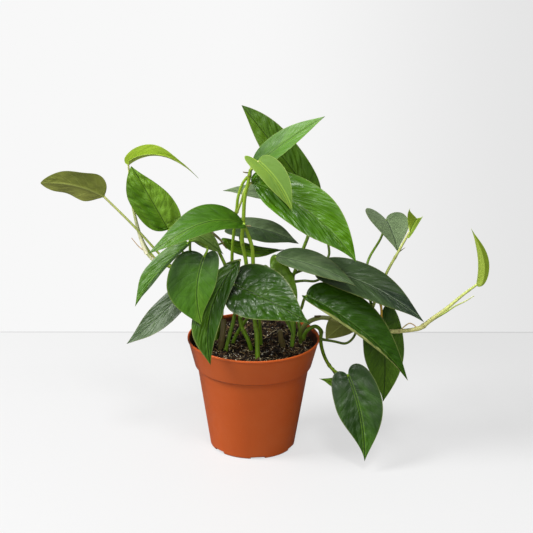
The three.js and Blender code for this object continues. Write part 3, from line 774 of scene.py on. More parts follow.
    def ripples(self, x: np.ndarray, y: np.ndarray, across: Pair, along: Pair, count: int = 16) -> np.ndarray:
        """Sums sines of random directions, sin(2 pi (a x + b y) + c) sqrt(2 / count).

        Args:
            x: The first coordinate.
            y: The second one.
            across: The least and the greatest a, in waves a unit of x.
            along: The least and the greatest b, which is turned either way.
            count: How many sines there are.

        Returns:
            A rough surface whose heights have a spread of about 1.
        """
        draw = self.draws
        total = np.zeros(x.shape)
        rates = draw.uniform(*across, count), draw.uniform(*along, count)
        turns = draw.choice((-1, 1), count), draw.uniform(0, 2 * math.pi, count)
        for a, b, sign, c in zip(*rates, *turns):
            total += np.sin(2 * math.pi * (a * x + sign * b * y) + c)
        return total * math.sqrt(2 / count)

    def quilting(self, grid: dict[str, np.ndarray]) -> np.ndarray:
        """Works out how far the skin bulges, in mm.

        |sin(pi vein)| swells between the side veins, and long ripples beside the veins pucker it. Slow
        ripples bend the whole sheet. All fade at the midrib, the margin, the base and the tip.

        Args:
            grid: The values from surface().

        Returns:
            The height over the plain sheet at each grid point.
        """
        vein, out, t = self.phase(grid), grid["out"], grid["t"]
        far = np.where(grid["half"] > 0, 2.0, 0.0) + out
        swell = np.abs(np.sin(math.pi * vein)) - 0.6
        pucker = self.ripples(vein, far, (0.3, 0.9), (0.5, 2.6))
        slow = self.ripples(t, far, (0.6, 2.4), (0.3, 1.1), 7)
        fade = smoothstep(out, 0.0, 0.2) * (1 - 0.8 * smoothstep(out, 0.75, 1.0))
        ends = smoothstep(t, 0.02, 0.14) * (1 - smoothstep(t, 0.86, 0.99))
        bulges = (self.SWELL * swell + self.PUCKER * pucker) * fade
        return self.leaf.quilt * ends * (bulges + self.SLOW * slow * smoothstep(out, 0.1, 0.7))

    def tints(self, grid: dict[str, np.ndarray]) -> tuple[np.ndarray, np.ndarray]:
        """Works out the colour level, the blade's own tone with its painted light and shade, and how much of
        the lower face's colour the margin shows.

        The level runs softly from one half's light to the other's, and gets more or less towards the
        base and the tip. The margin's band is a soft step of out, wider where the leaf curls.

        Args:
            grid: The values from surface().

        Returns:
            The level, from -1 to 1 or more, and the share of the margin's colour.
        """
        t, out, (left, right), (low, high) = grid["t"], grid["out"], self.leaf.light, self.leaf.ends
        level = right + (left - right) * smoothstep(grid["across"], -1.5, 1.5)
        level = level + low * (1 - smoothstep(t, 0, 0.5)) + high * smoothstep(t, 0.5, 1)
        curled = np.array(self.leaf.rim, float)[grid["half"].astype(int)]
        band = curled * smoothstep(t, 0.2, 0.4) * (1 - smoothstep(t, 0.75, 0.97))
        start = 1 - self.BARE_RIM - band
        shown = np.where(curled > 0, self.CURL_SHOWN, self.RIM_SHOWN)
        return level, smoothstep(out, start, start + self.BARE_RIM) * shown

    def draft(self, draft: Draft) -> None:
        """Adds the closed blade to a mesh.

        The upper face is the sheet plus half its thickness with a groove along the midrib, and the
        lower face is the sheet minus half its thickness with a rib under the midrib and the veins.

        Args:
            draft: Where the blade goes.
        """
        points, grid = self.surface()
        points = points + self.quilting(grid)[..., None] * self.normals(points)
        normal = self.normals(points)
        across, out, t, vein = grid["across"], grid["out"], grid["t"], self.phase(grid)
        ends = smoothstep(t, 0.0, 0.06) * (1 - smoothstep(t, 0.8, 1.0))
        lines = bell(np.abs(vein - np.round(vein)), self.VEIN_WIDTH) * smoothstep(out, 0.02, 0.1) * (1 - out)
        half = self.THICKNESS / 2 * (1 - self.EDGE_THINNING * out**4)
        groove = self.GROOVE * bell(across, self.GROOVE_WIDTH) * ends
        rib = (self.RIB * bell(across, self.RIB_WIDTH) + self.VEIN_RIB * lines) * ends
        upper = points + (half - groove)[..., None] * normal
        lower = points - (half + rib)[..., None] * normal
        level, rim = self.tints(grid)
        relief = np.full(t.shape, min(1.0, self.leaf.quilt / self.FULL_QUILT))
        # Each blade has a depth of its own in the noise, so that no two have the same clouds.
        layer = np.full(t.shape, sum(map(ord, self.leaf.node)) % 97 * 10.0)
        weave = np.stack([self.VEIN_SPACING * vein, across, layer], axis=-1)
        # The level goes to the materials as the blade's own tone together with its painted light and shade.
        values = {"across": across, "vein": vein, "rim": rim, "tone_and_painted_light": level, "relief": relief, "weave": weave}
        merged, kept = self.pinched(t.size)
        flat = {key: np.concatenate([numbers.reshape(t.size, *numbers.shape[2:])] * 2)[kept]
                for key, numbers in values.items()}
        corners = np.concatenate([upper.reshape(-1, 3), lower.reshape(-1, 3)])[kept]
        sheets = [self.without_doubles(merged[block]) for block in self.faces(t.size)]
        looks = 2 * (self.UPPER,) + 4 * (self.LOWER,)
        draft.add(corners, sum(sheets, []), looks, flat)

    def faces(self, count: int) -> tuple[np.ndarray, np.ndarray, np.ndarray]:
        """Works out the faces as rows of four corners.

        Args:
            count: How many points the upper face has. The lower face's points follow them.

        Returns:
            The upper face, the lower face and the margin that joins them.
        """
        wide = self.WIDE
        start = (np.arange(self.ROWS)[:, None] * wide + np.arange(wide - 1)[None, :]).ravel()
        cells = np.stack([start, start + 1, start + 1 + wide, start + wide], axis=1)
        near = np.arange(self.ROWS) * wide
        far = near + wide - 1
        rims = np.concatenate([
            np.stack([near, near + wide, near + wide + count, near + count], axis=1),
            np.stack([far + wide, far, far + count, far + wide + count], axis=1)])
        return cells, cells[:, ::-1] + count, rims

    def pinched(self, count: int) -> tuple[np.ndarray, np.ndarray]:
        """Makes each face's first row and last row one point, at the base and at the tip.

        Args:
            count: How many points a face has.

        Returns:
            Each point's new number, and the old numbers of the points that are kept.
        """
        order = np.arange(2 * count)
        for face in (0, count):
            order[face:face + self.WIDE] = face
            order[face + count - self.WIDE:face + count] = face + count - self.WIDE
        kept, merged = np.unique(order, return_inverse=True)
        return merged, kept

    @staticmethod
    def without_doubles(faces: np.ndarray) -> list[np.ndarray]:
        """Splits cells into whole ones and ones that have two corners in one place.

        Args:
            faces: Rows of four corners.

        Returns:
            The whole cells, and the others as triangles.
        """
        same = faces == np.roll(faces, -1, axis=1)
        whole = faces[~same.any(axis=1)]
        pinched = faces[same.sum(axis=1) == 1]
        keep = ~(pinched == np.roll(pinched, -1, axis=1))
        return [whole, pinched[keep].reshape(-1, 3)]


class Foliage:
    """All the blades, and the finishes that they share."""

    def __init__(self) -> None:
        """Makes both faces of each finish."""
        self.finishes = {tone: [tone.value.upper(), tone.value.lower()] for tone in Tone}

    def build(self) -> None:
        """Makes each blade in place of its solid."""
        for leaf in LEAVES:
            draft = Draft()
            Blade(leaf).draft(draft)
            piece = draft.build(f"blade_{leaf.node}", self.finishes[leaf.tone])
            place(piece, leaf.tone.value.name, f"leaf_{leaf.node}")


class StemTone(Enum):
    """The colours that a stem runs between, from its foot to its end."""

    GREEN = ((82, 118, 22), (126, 160, 38))
    FRESH = ((104, 144, 24), (144, 174, 46))
    PALE = ((154, 178, 66), (204, 210, 128))
    RUNNER = ((92, 118, 32), (220, 216, 140))
    CREAM = ((218, 214, 138), (190, 204, 104))
    YELLOW = ((230, 196, 80), (246, 190, 76))
    DARK = ((88, 114, 34), (118, 142, 48))
    ROOT = ((220, 210, 150), (206, 156, 104))
    BARK = ((92, 84, 48), (116, 104, 66))
    HUSK = ((116, 118, 78), (132, 112, 70))
    SHEATH = ((240, 234, 200), (196, 210, 122))


GREEN, FRESH, PALE, RUNNER, CREAM, YELLOW, DARK, ROOT, BARK, HUSK, SHEATH = StemTone


@dataclass(frozen=True)
class Rod:
    """One stem, petiole, root or spike, along the same curve as its solid.

    Attributes:
        radius: Its radius at its foot.
        path: The points that it runs through.
        tone: Its colours.
        end: Its radius at its end, as a share of that at its foot.
        joints: Where along it, as shares of its length, a leaf or a root has left a ring.
        flare: How far its foot spreads over the stem that carries it, as a share of its radius.
    """

    radius: float
    path: tuple[Point, ...]
    tone: StemTone = StemTone.FRESH
    end: float = 0.9
    joints: tuple[float, ...] = ()
    flare: float = 0.0


VINES: dict[str, tuple[Rod, ...]] = {
    "vine_left": (
        Rod(2.0, ((-34, 14, 80), (-34, 14, 95), (-30, 10, 116), (-30, 5, 140), (-39, -2, 159), (-58, 0, 169),
            (-77, 0, 172)), GREEN, joints=(0.2, 0.55, 0.78, 0.97)),
        Rod(1.1, ((-74, 0, 171), (-83, 0, 181), (-109, 0, 211), (-134, 0, 237)), PALE, 0.95, flare=0.5),
        Rod(1.2, ((-76, 0, 172), (-85, 1, 175), (-97, 5, 188), (-104, 8, 203), (-109, 11, 222),
            (-113, 13, 263)), PALE, 0.7, flare=0.7),
        Rod(1.1, ((-58, 0, 169), (-63, 2, 182), (-69, 0, 196), (-77, -2, 207.5)), GREEN, flare=0.5),
        Rod(1.3, ((-52, 0, 167), (-57, -10, 189), (-57, -16, 203)), GREEN, joints=(0.95,), flare=0.4),
        Rod(1.1, ((-57, -16, 202), (-50, -27, 205), (-41, -36, 202), (-44, -38, 195)), GREEN),
        Rod(1.0, ((-57, -16, 202), (-59, -22, 201)), GREEN),
        Rod(1.0, ((-57, -16, 202), (-54, -14, 209)), GREEN),
        Rod(1.0, ((-49, -1, 164), (-53, -3, 161), (-58, -5, 156)), DARK),
        Rod(0.7, ((-86, 1, 176), (-94, 2, 182), (-103, 2, 189), (-110, 1, 198)), ROOT, 0.4),
    ),
    "vine_inner": (
        Rod(1.8, ((-25, -14, 80), (-25, -14, 95), (-22, -12, 109), (-17, -8, 130), (-18, -10, 154),
            (-25, -12, 176), (-32, -8, 190), (-37, -4, 199), (-40, -2, 205)), GREEN, 0.8, (0.12, 0.45, 0.75)),
        Rod(1.0, ((-26, -12, 178), (-20, -20, 184), (-12, -28, 189)), DARK, flare=0.4),
        Rod(1.0, ((-36, -4, 197), (-34, 8, 190), (-28, 21, 187.5)), DARK, flare=0.4),
    ),
    "vine_front": (
        Rod(2.2, ((4, -30, 80), (4, -30, 95), (3, -22, 115), (1, -14, 128), (0, -8, 153), (-1, -4, 178),
            (-2, -4, 192), (-5, -6, 203), (-8, -9, 212), (-10, -12, 217)), FRESH, 0.75, (0.3, 0.41)),
        Rod(1.2, ((1, -10, 136), (-7, -20, 152), (-18, -24, 164)), DARK, flare=0.5),
        Rod(1.2, ((0, -8, 147), (7, -7, 159), (15, -4, 171)), GREEN, flare=0.5),
        Rod(1.6, ((-19, 6, 80), (-19, 6, 95), (-13, 6, 109), (-4, 5, 123), (1, -4, 136), (0, -8, 146)),
            GREEN, joints=(0.35,)),
        Rod(1.5, ((7, 4, 80), (7, 4, 95), (6, 3, 112), (5, 1, 124), (1, -7, 140)), GREEN),
    ),
    "vine_top": (
        Rod(2.0, ((-2, -9, 80), (-2, -9, 95), (-5, -8, 105), (-11, 0, 115), (-12, 2, 139), (-7, 4, 170),
            (-11, 4, 196), (-10, 2, 214), (-9, 0, 237), (-6, -1, 252), (-4, -1, 264)), FRESH, 0.8,
            (0.18, 0.62, 0.97)),
        Rod(1.6, ((-11, 0, 123), (-16, 8, 147), (-20, 10, 172), (-18, 10, 208), (-16, 7, 226), (-15, 5, 236),
            (-11, 2, 250), (-7, -1, 257)), FRESH, 0.8, (0.72,), 0.4),
        Rod(1.1, ((-16, 8, 221), (-12, 4, 233), (-9, 0, 245), (-3, 0, 252)), PALE, flare=0.5),
        Rod(1.2, ((-4, -1, 263), (3, -8, 274)), PALE),
        Rod(1.2, ((-4, -1, 263), (-3, 4, 265), (1, 10, 265)), PALE),
        Rod(1.2, ((-11, 4, 193), (-13, 18, 193), (-13, 34, 199)), DARK, flare=0.4),
    ),
    "vine_back": (
        Rod(1.9, ((35, 0, 80), (35, -1, 95), (37, 4, 115), (38, 10, 132), (35, 14, 157), (37, 15, 163),
            (44, 18, 183), (49, 22, 197), (51, 27, 214), (51, 30, 230)), GREEN, 0.75, (0.15, 0.36, 0.5)),
        Rod(1.2, ((35, 14, 153), (45, 12, 155), (55, 6, 157), (61, 0, 163), (65, -4, 171)), DARK, flare=0.5),
        Rod(1.2, ((35, 14, 159), (29, 6, 169), (23, -4, 180), (19, -8, 185)), GREEN, flare=0.5),
        Rod(1.2, ((36, 15, 161), (52, 22, 165), (67, 26, 173), (67, 30, 184), (57, 34, 212), (44, 34, 226),
            (33, 34, 228)), DARK, flare=0.5),
    ),
    "vine_right": (
        Rod(2.2, ((40, 24, 80), (41, 24, 95), (49, 17, 112), (59, 14, 118), (65, 10, 120), (83, 0, 120),
            (101, -9, 116), (122, -12, 116), (136, -10, 116), (148, -8, 117)), RUNNER, 0.85,
            (0.25, 0.5, 0.6, 0.88)),
        Rod(2.2, ((146, -8, 117), (151, -7, 118), (162, -4, 126), (173, 0, 133), (190, 6, 146),
            (202, 10, 154)), CREAM, 0.5, (0.12,)),
        Rod(1.3, ((160, -4, 124), (173, -2, 131), (182, -1, 137), (191, 1, 141), (199, 2, 146)), PALE, 0.25,
            flare=0.6),
        Rod(1.6, ((102, -9, 116), (108, -4, 138), (119, 1, 167), (129, 0, 188), (138, -4, 208)), PALE, 0.7,
            (0.3, 0.72), 0.3),
        Rod(1.2, ((107, -5, 136), (102, 10, 152), (103, 22, 170), (116, 42, 188), (120, 48, 202)), GREEN,
            flare=0.5),
        Rod(1.2, ((111, -2, 146), (115, 0, 136), (116, 2, 121)), YELLOW, flare=0.5),
        Rod(0.6, ((132, -10, 116), (137, -10, 121), (141, -9, 123), (146, -8, 120), (147, -8, 118)), ROOT,
            0.8),
    ),
    "vine_low": (
        Rod(2.0, ((45, 15, 80), (45, 15, 95), (48, 15, 104), (53, 16, 108), (57, 17, 108.5),
            (61.5, 17, 104.5), (61.5, 15, 95), (65, 2, 85), (72, -13, 79), (80, -22, 77), (86, -28, 79)),
            GREEN, 0.7, (0.16, 0.4, 0.75)),
        Rod(1.2, ((61, 15, 97), (74, 12, 96), (84, 10, 95), (90, 8, 100), (94, 6, 110), (98, 4, 129)), DARK,
            flare=0.5),
        Rod(1.2, ((72, -12, 79), (81, -12, 64), (91, -8, 54)), DARK, flare=0.5),
    ),
    "vine_side": (
        Rod(1.8, ((43, 6, 80), (43, 6, 95), (42, -3, 112), (40, -6, 129), (43, -12, 138), (45, -18, 148),
            (47, -22, 153)), DARK, 0.7, (0.3, 0.62)),
    ),
}

STUBS: dict[str, tuple[Rod, ...]] = {
    "stub_left": (
        Rod(2.9, ((-30, -8, 85), (-30, -8, 95), (-28, -8, 110), (-27, -3, 122)), BARK, 0.85, (0.5,)),
    ),
    "stub_right": (
        Rod(2.7, ((27, 0, 85), (27, 0, 95), (25, -4, 105), (24, -5, 113)), BARK, 0.85, (0.6,)),
    ),
}

SHEATHS: tuple[Rod, ...] = (
    Rod(0.75, ((-5, -0.5, 261.0), (-8, -1, 261.3), (-10.6, -1, 261.8)), HUSK, 0.6),
    Rod(0.7, ((-9, -11, 215.0), (-6, -12, 215.2), (-3, -13, 215.6)), HUSK, 0.6),
    Rod(0.6, ((129.3, 0.5, 187.5), (132, 0.2, 189.8), (135.3, 0, 192.4)), BARK, 0.25),
    Rod(1.0, ((55.5, 13, 120), (60.4, 12, 120.6), (64.5, 12, 119.6)), BARK, 0.7, (0.6,)),
    Rod(1.5, ((-40, -2, 206.5), (-37, -3, 204.5), (-30.7, -3, 199), (-27.1, -4, 194.2), (-24.8, -4, 190.9)),
        HUSK, 0.35),
    Rod(1.9, ((-96.4, 0.5, 183.4), (-98.7, 1.5, 188.2), (-103.7, 4.5, 203), (-108.3, 7.5, 222),
        (-109.8, 8.5, 230)), SHEATH, 0.65),
    Rod(0.7, ((-88.5, -1, 175.5), (-91.5, -0.6, 178), (-97.4, 0.9, 185.5)), SHEATH, 2.5),
)


@dataclass(frozen=True)
class StemFinish:
    """The skin of the stems: smooth and green, with brown scars and pale flecks.

    Attributes:
        rough: How dull it is.
        shade: The colour of its streaks.
        fleck: The colour of its flecks.
        scar: The colour of the rings that leaves and roots have left.
        depth: How deep its streaks are, in metres.
    """

    rough: float = 0.42
    shade: Rgb = (60, 74, 28)
    fleck: Rgb = (196, 200, 140)
    scar: Rgb = (92, 62, 34)
    depth: float = 0.0001

    def material(self) -> bpy.types.Material:
        """Makes the skin, which takes its colour from the mesh.

        Returns:
            The material.
        """
        bench = Bench("stem_skin")
        streaks = bench.noise(420, 3, (1, 1, 0.12))
        flecks = bench.ramp(bench.noise(1500, 2), 0.66, 0.76, 0, 0.1)
        streaky = bench.ramp(streaks, 0.35, 0.7, 0, 0.2)
        darker = bench.mix(streaky, bench.own("skin", "Color"), linear(self.shade))
        flecked = bench.mix(flecks, darker, linear(self.fleck))
        blotch = bench.ramp(bench.noise(700, 3), 0.3, 0.6)
        scars = bench.calc("MULTIPLY", bench.own("scar"), bench.calc("MULTIPLY", blotch, 0.7))
        colour = bench.mix(scars, flecked, linear(self.scar))
        rough = bench.ramp(scars, 0, 1, self.rough, 0.8)
        normal = bench.bump(streaks, self.depth, 0.5)
        bench.surface(Base_Color=colour, Roughness=rough, Normal=normal, IOR=1.42)
        return bench.material


class Tube:
    """A round section carried along a smooth path."""

    SIDES, STATIONS = 16, 14
    # Widths and reaches in mm. Swell, channel and dome are shares of the radius.
    JOINT_SWELL, JOINT_WIDTH = 0.22, 1.6
    SCAR_WIDTH = 0.8
    FLARE_REACH = 3
    DOME = 0.4
    # The shallow groove along one side, and its width in radians.
    CHANNEL, CHANNEL_WIDTH = 0.08, 0.5

    def __init__(self, rod: Rod) -> None:
        """Keeps the rod that it follows."""
        self.rod = rod

    def path(self) -> np.ndarray:
        """Follows the centripetal Catmull-Rom curve through the rod's points.

        Between b and c, with neighbours a and d and gaps g = |difference|^(1/2), the curve is the cubic
        with the ends b and c and the slopes that the gaps give.

        Returns:
            Its stations, closer together than the points.
        """
        points = np.array(self.rod.path, float)
        first, last = 2 * points[0] - points[1], 2 * points[-1] - points[-2]
        line = np.vstack([first, points, last])
        a, b, c, d = line[:-3], line[1:-2], line[2:-1], line[3:]
        gaps = np.sqrt(np.linalg.norm(np.diff(line, axis=0), axis=1))[:, None]
        before, between, after = gaps[:-2], gaps[1:-1], gaps[2:]
        leave = ((b - a) / before - (c - a) / (before + between) + (c - b) / between) * between
        arrive = ((c - b) / between - (d - b) / (between + after) + (d - c) / after) * between
        t = np.linspace(0, 1, self.STATIONS, endpoint=False)[:, None, None]
        square, cube = 3 * (c - b) - 2 * leave - arrive, 2 * (b - c) + leave + arrive
        curve = b + t * leave + t**2 * square + t**3 * cube
        return np.vstack([curve.transpose(1, 0, 2).reshape(-1, 3), points[-1]])

    def radii(self, reach: np.ndarray) -> np.ndarray:
        """Works out the radius at each station.

        It runs evenly from the foot's radius to the end's, swells by a fifth in a bell 1.6 mm wide at
        each joint, and spreads at the foot as exp(-distance / 3 mm).

        Args:
            reach: How far along the path each station is, in mm.

        Returns:
            The radii in mm.
        """
        rod = self.rod
        share = reach / reach[-1]
        radius = rod.radius * (1 + (rod.end - 1) * share)
        for joint in rod.joints:
            radius = radius * (1 + self.JOINT_SWELL * bell(reach - joint * reach[-1], self.JOINT_WIDTH))
        return radius * (1 + rod.flare * np.exp(-reach / self.FLARE_REACH))

    def draft(self, draft: Draft) -> None:
        """Adds the closed tube, with domed ends, to a mesh.

        A point is the path's point plus r (cos a, sin a) in the plane across it, for every angle a.

        Args:
            draft: Where the tube goes.
        """
        rod = self.rod
        line = self.path()
        steps = np.linalg.norm(np.diff(line, axis=0), axis=1)
        reach = np.concatenate([[0], np.cumsum(steps)])
        forward = unit(np.gradient(line, axis=0))
        aside = np.linalg.svd(forward)[2][-1]
        across = unit(aside - (forward @ aside)[:, None] * forward)
        over = np.cross(forward, across)
        angle = around(self.SIDES)
        channel = 1 - self.CHANNEL * bell(angle - math.pi, self.CHANNEL_WIDTH)
        radius = self.radii(reach)[:, None] * channel[None, :]
        ring = np.cos(angle)[None, :, None] * across[:, None] + np.sin(angle)[None, :, None] * over[:, None]
        body = line[:, None] + radius[..., None] * ring
        first = line[0] - self.DOME * rod.radius * forward[0]
        last = line[-1] + self.DOME * rod.radius * rod.end * forward[-1]
        points = np.vstack([body.reshape(-1, 3), first, last])
        share = np.concatenate([np.repeat(reach / reach[-1], self.SIDES), [0, 1]])
        low, high = (np.array(linear(colour)) for colour in rod.tone.value)
        skin = low + (high - low) * share[:, None]
        scars = (bell((share - joint) * reach[-1], self.SCAR_WIDTH) for joint in rod.joints)
        scar = np.clip(sum(scars, np.zeros(len(share))), 0, 1)
        draft.add(points, ringed(len(line), self.SIDES), values={"skin": skin, "scar": scar})


class Stems:
    """All the stems, petioles, aerial roots and old stubs, and the dried sheaths on them."""

    def __init__(self) -> None:
        """Makes the skin that they share."""
        self.skin = StemFinish().material()

    def build(self) -> None:
        """Makes each vine and each stub in place of its solid."""
        for slot, group in (("stem", VINES), ("old_stem", STUBS)):
            for name, rods in group.items():
                draft = Draft()
                for rod in rods:
                    Tube(rod).draft(draft)
                place(draft.build(f"{name}_skin", [self.skin]), slot, name)
        dried = Draft()
        for rod in SHEATHS:
            Tube(rod).draft(dried)
        place(dried.build("dried_sheaths", [self.skin]), "old_stem")


# Where the pot's lip starts: the height of its lower edge, and its outer radius there.
LIP_FOOT: Pair = (79.3, 53.2)


@dataclass(frozen=True)
class Plastic:
    """The pot's dull terracotta-coloured plastic, a little scuffed and dusty.

    Attributes:
        colour: Its clean colour.
        worn: Its colour where it is scuffed.
        dust: The colour of the specks on it.
        inner_shade: The colour of the painted shade on its inner wall above the soil.
        flare: How much wider the lip gets with each unit of height.
        level: Heights in metres between which the painted shade on the inner wall fades out, near the rim.
        grain: How deep the plastic's grain is, in metres.
    """

    colour: Rgb = (190, 82, 20)
    worn: Rgb = (196, 96, 38)
    dust: Rgb = (214, 150, 110)
    inner_shade: Rgb = (30, 20, 13)
    flare: float = 0.26
    level: Pair = (0.1045, 0.1065)
    grain: float = 0.00004

    def material(self) -> bpy.types.Material:
        """Makes the plastic: faint clouds and specks over one colour, and painted shade on the inner wall.

        Returns:
            The material.
        """
        bench = Bench("pot_plastic")
        clouds = bench.ramp(bench.noise(22, 4), 0.35, 0.7, 0, 0.35)
        normal = bench.bump(bench.noise(2600, 2), self.grain, 0.4)
        base = bench.mix(clouds, linear(self.colour), linear(self.worn))
        specks = bench.ramp(bench.noise(900, 1), 0.76, 0.8, 0, 0.3)
        dusty = bench.mix(specks, base, linear(self.dust))
        # Painted shade: the inner wall, from under the soil up to near the rim, is coloured nearly black.
        colour = bench.mix(self.shaded_inner_wall(bench), dusty, linear(self.inner_shade))
        rough = bench.ramp(bench.noise(120), 0.3, 0.7, 0.46, 0.56)
        bench.surface(Base_Color=colour, Roughness=rough, Normal=normal, IOR=1.46)
        return bench.material

    def shaded_inner_wall(self, bench: Bench) -> bpy.types.NodeSocket:
        """Finds where the inner wall is painted dark as shade, up to near the rim.

        The depth under the outer face is lip radius + flare (z - lip height) - r.

        Args:
            bench: Where the nodes go.

        Returns:
            How much of a point is painted dark, from 0 to 1.
        """
        parts = bench.node("SeparateXYZ", {0: bench.coordinates}).outputs
        squares = bench.calc("ADD", bench.calc("POWER", parts[0], 2.0), bench.calc("POWER", parts[1], 2.0))
        height, radius = (axis * MM for axis in LIP_FOOT)
        over = bench.calc("MULTIPLY", bench.calc("SUBTRACT", parts[2], height), self.flare)
        depth = bench.calc("SUBTRACT", bench.calc("ADD", over, radius), bench.calc("SQRT", squares))
        level = bench.calc("ADD", parts[2], bench.calc("MULTIPLY", bench.noise(60), 0.006))
        below = bench.ramp(level, *self.level, 0.94, 0)
        inside = bench.calc("MULTIPLY", bench.ramp(depth, 0.0005, 0.0012), bench.ramp(parts[2], 0.084, 0.086))
        return bench.calc("MULTIPLY", inside, below)


@dataclass
class Pot:
    """The nursery pot: a tapering body under a deep flared lip with a bead at the rim.

    Attributes:
        height: To the top of the rim.
        rim: Outer radius of the rim.
        shoulder: Height and outer radius of the body where the lip starts.
        foot: Outer radius of the foot.
        wall: Thickness of the wall.
        floor: Thickness of the floor.
        slots: How many drain slots there are, how wide and how high they are, and how deep they go.
        first_slot: The angle of the first slot, in degrees.
        cut: The most of a side that the arc at its end may take, as a share.
        segments: How many sides it has round its axis.
        sharp: The angle in degrees from which an edge is drawn sharp.
    """

    height: float = 104.8
    rim: float = 60.0
    shoulder: Pair = (77.8, 50.8)
    foot: float = 38.6
    wall: float = 1.3
    floor: float = 1.6
    slots: tuple[int, float, float, float] = (6, 13.0, 2.6, 4.0)
    first_slot: float = -82.0
    cut: float = 0.45
    segments: int = 144
    sharp: float = 40

    def profile(self) -> tuple[np.ndarray, np.ndarray]:
        """Lists the section's corners: up the outside from the floor's middle, and down the inside.

        Returns:
            Radius and height of each corner, and how round each one is.
        """
        lip_z, lip_r = LIP_FOOT
        top_z, top_r = self.shoulder
        rim, tall, wall = self.rim, self.height, self.wall
        corners = [
            (0, 0, 0), (self.foot - 1.2, 0, 1.0), (self.foot, 1.2, 1.0), (top_r, top_z, 0.5),
            (lip_r, lip_z, 0.45), (rim - 0.75, tall - 2.3, 0.4), (rim, tall - 1.7, 0.5), (rim, tall, 0.6),
            (rim - 1.5, tall, 0.5), (rim - 0.7 - wall, tall - 2.2, 0.6), (lip_r - wall, lip_z + wall, 0.6),
            (top_r - wall, top_z + wall, 0.6), (self.foot - wall, self.floor, 0.5), (0, self.floor, 0)]
        table = np.array(corners, float)
        return table[:, :2], table[:, 2]

    def rounded(self) -> np.ndarray:
        """Rounds the section's corners with arcs.

        A corner of radius r between unit directions p and q leaves each side at r tan(turn / 2), and
        the arc between is drawn as a quadratic curve over the corner.

        Returns:
            The section's points, radius and height.
        """
        corners, radii = self.profile()
        line = [corners[0]]
        steps = np.linspace(0, 1, 5)[:, None]
        for before, corner, after, radius in zip(corners, corners[1:], corners[2:], radii[1:]):
            enter, leave = unit(corner - before), unit(after - corner)
            turn = math.acos(np.clip(enter @ leave, -1, 1))
            sides = np.linalg.norm(corner - before), np.linalg.norm(after - corner)
            cut = min(radius * math.tan(turn / 2), self.cut * min(sides))
            a, b = corner - cut * enter, corner + cut * leave
            line.extend((1 - steps) ** 2 * a + 2 * steps * (1 - steps) * corner + steps**2 * b)
        return np.vstack([*line, corners[-1]])

    def turned(self) -> bpy.types.Object:
        """Turns the section round the axis: (r cos a, r sin a, z) for every angle a.

        Returns:
            The pot without its slots.
        """
        section, angle = self.rounded(), around(self.segments)
        radius, height = section[1:-1, :1], section[1:-1, 1:]
        body = np.stack([radius * np.cos(angle), radius * np.sin(angle), height + 0 * angle], axis=-1)
        ends = np.array([(0, 0, section[0, 1]), (0, 0, section[-1, 1])])
        draft = Draft()
        draft.add(np.vstack([body.reshape(-1, 3), ends]), ringed(len(radius), self.segments))
        return draft.build("pot_shell", [Plastic().material()], sharp=self.sharp)

    def cutter(self) -> bpy.types.Object:
        """Makes the boxes that cut the drain slots through the corner of floor and wall.

        Returns:
            All of them as one object.
        """
        count, wide, high, deep = self.slots
        signs = np.array([(x, y, z) for z in (-1, 1) for y in (-1, 1) for x in (-1, 1)], float)
        box = signs * (deep, wide / 2, high) + (self.foot, 0, 0)
        faces = np.array([(0, 2, 3, 1), (4, 5, 7, 6), (0, 1, 5, 4), (2, 6, 7, 3), (0, 4, 6, 2), (1, 3, 7, 5)])
        draft = Draft()
        for angle in np.radians(self.first_slot + 360 / count * np.arange(count)):
            cos, sin = math.cos(angle), math.sin(angle)
            draft.add(box @ np.array([(cos, sin, 0), (-sin, cos, 0), (0, 0, 1)]), [faces])
        return draft.build("slot_cutter", [])

    def build(self) -> None:
        """Makes the pot in place of its solid, with its slots cut through."""
        pot, cutter = self.turned(), self.cutter()
        cut = pot.modifiers.new("slots", "BOOLEAN")
        cut.object, cut.operation, cut.solver = cutter, "DIFFERENCE", "EXACT"
        shaped = bpy.data.meshes.new_from_object(pot.evaluated_get(bpy.context.evaluated_depsgraph_get()))
        pot.modifiers.clear()
        pot.data = shaped
        shaped.name = pot.name
        shaped.set_sharp_from_angle(angle=math.radians(self.sharp))
        bpy.data.objects.remove(cutter)
        place(pot, "pot", "pot")


@dataclass(frozen=True)
class Crumbs:
    """Loose bits that lie on the soil.

    Attributes:
        name: What they are.
        count: How many there are.
        size: Least and greatest half length.
        flat: How thick they are, as a share of their width.
        long: How long they are, as a share of their width.
        colours: The colours that they are drawn from.
        lift: How far their middles lie above the soil.
    """

    name: str
    count: int
    size: Pair
    flat: float
    long: float
    colours: tuple[Rgb, ...]
    lift: float = 0.2


CRUMBS: tuple[Crumbs, ...] = (
    Crumbs("earth", 2600, (0.5, 1.7), 0.7, 1.2, ((26, 19, 14), (38, 28, 20), (20, 15, 12), (52, 38, 26))),
    Crumbs("bark", 420, (0.8, 2.3), 0.35, 1.8, ((66, 45, 28), (50, 34, 22), (90, 66, 40), (34, 24, 18)), 0.5),
    Crumbs("perlite", 150, (0.35, 1.1), 0.85, 1.1, ((214, 208, 190), (230, 226, 212), (190, 182, 160)), 0.7),
    Crumbs("straw", 900, (0.13, 0.34), 0.7, 13.0, ((196, 170, 118), (160, 130, 84), (120, 92, 58),
                                                   (224, 206, 164)), 0.9),
)


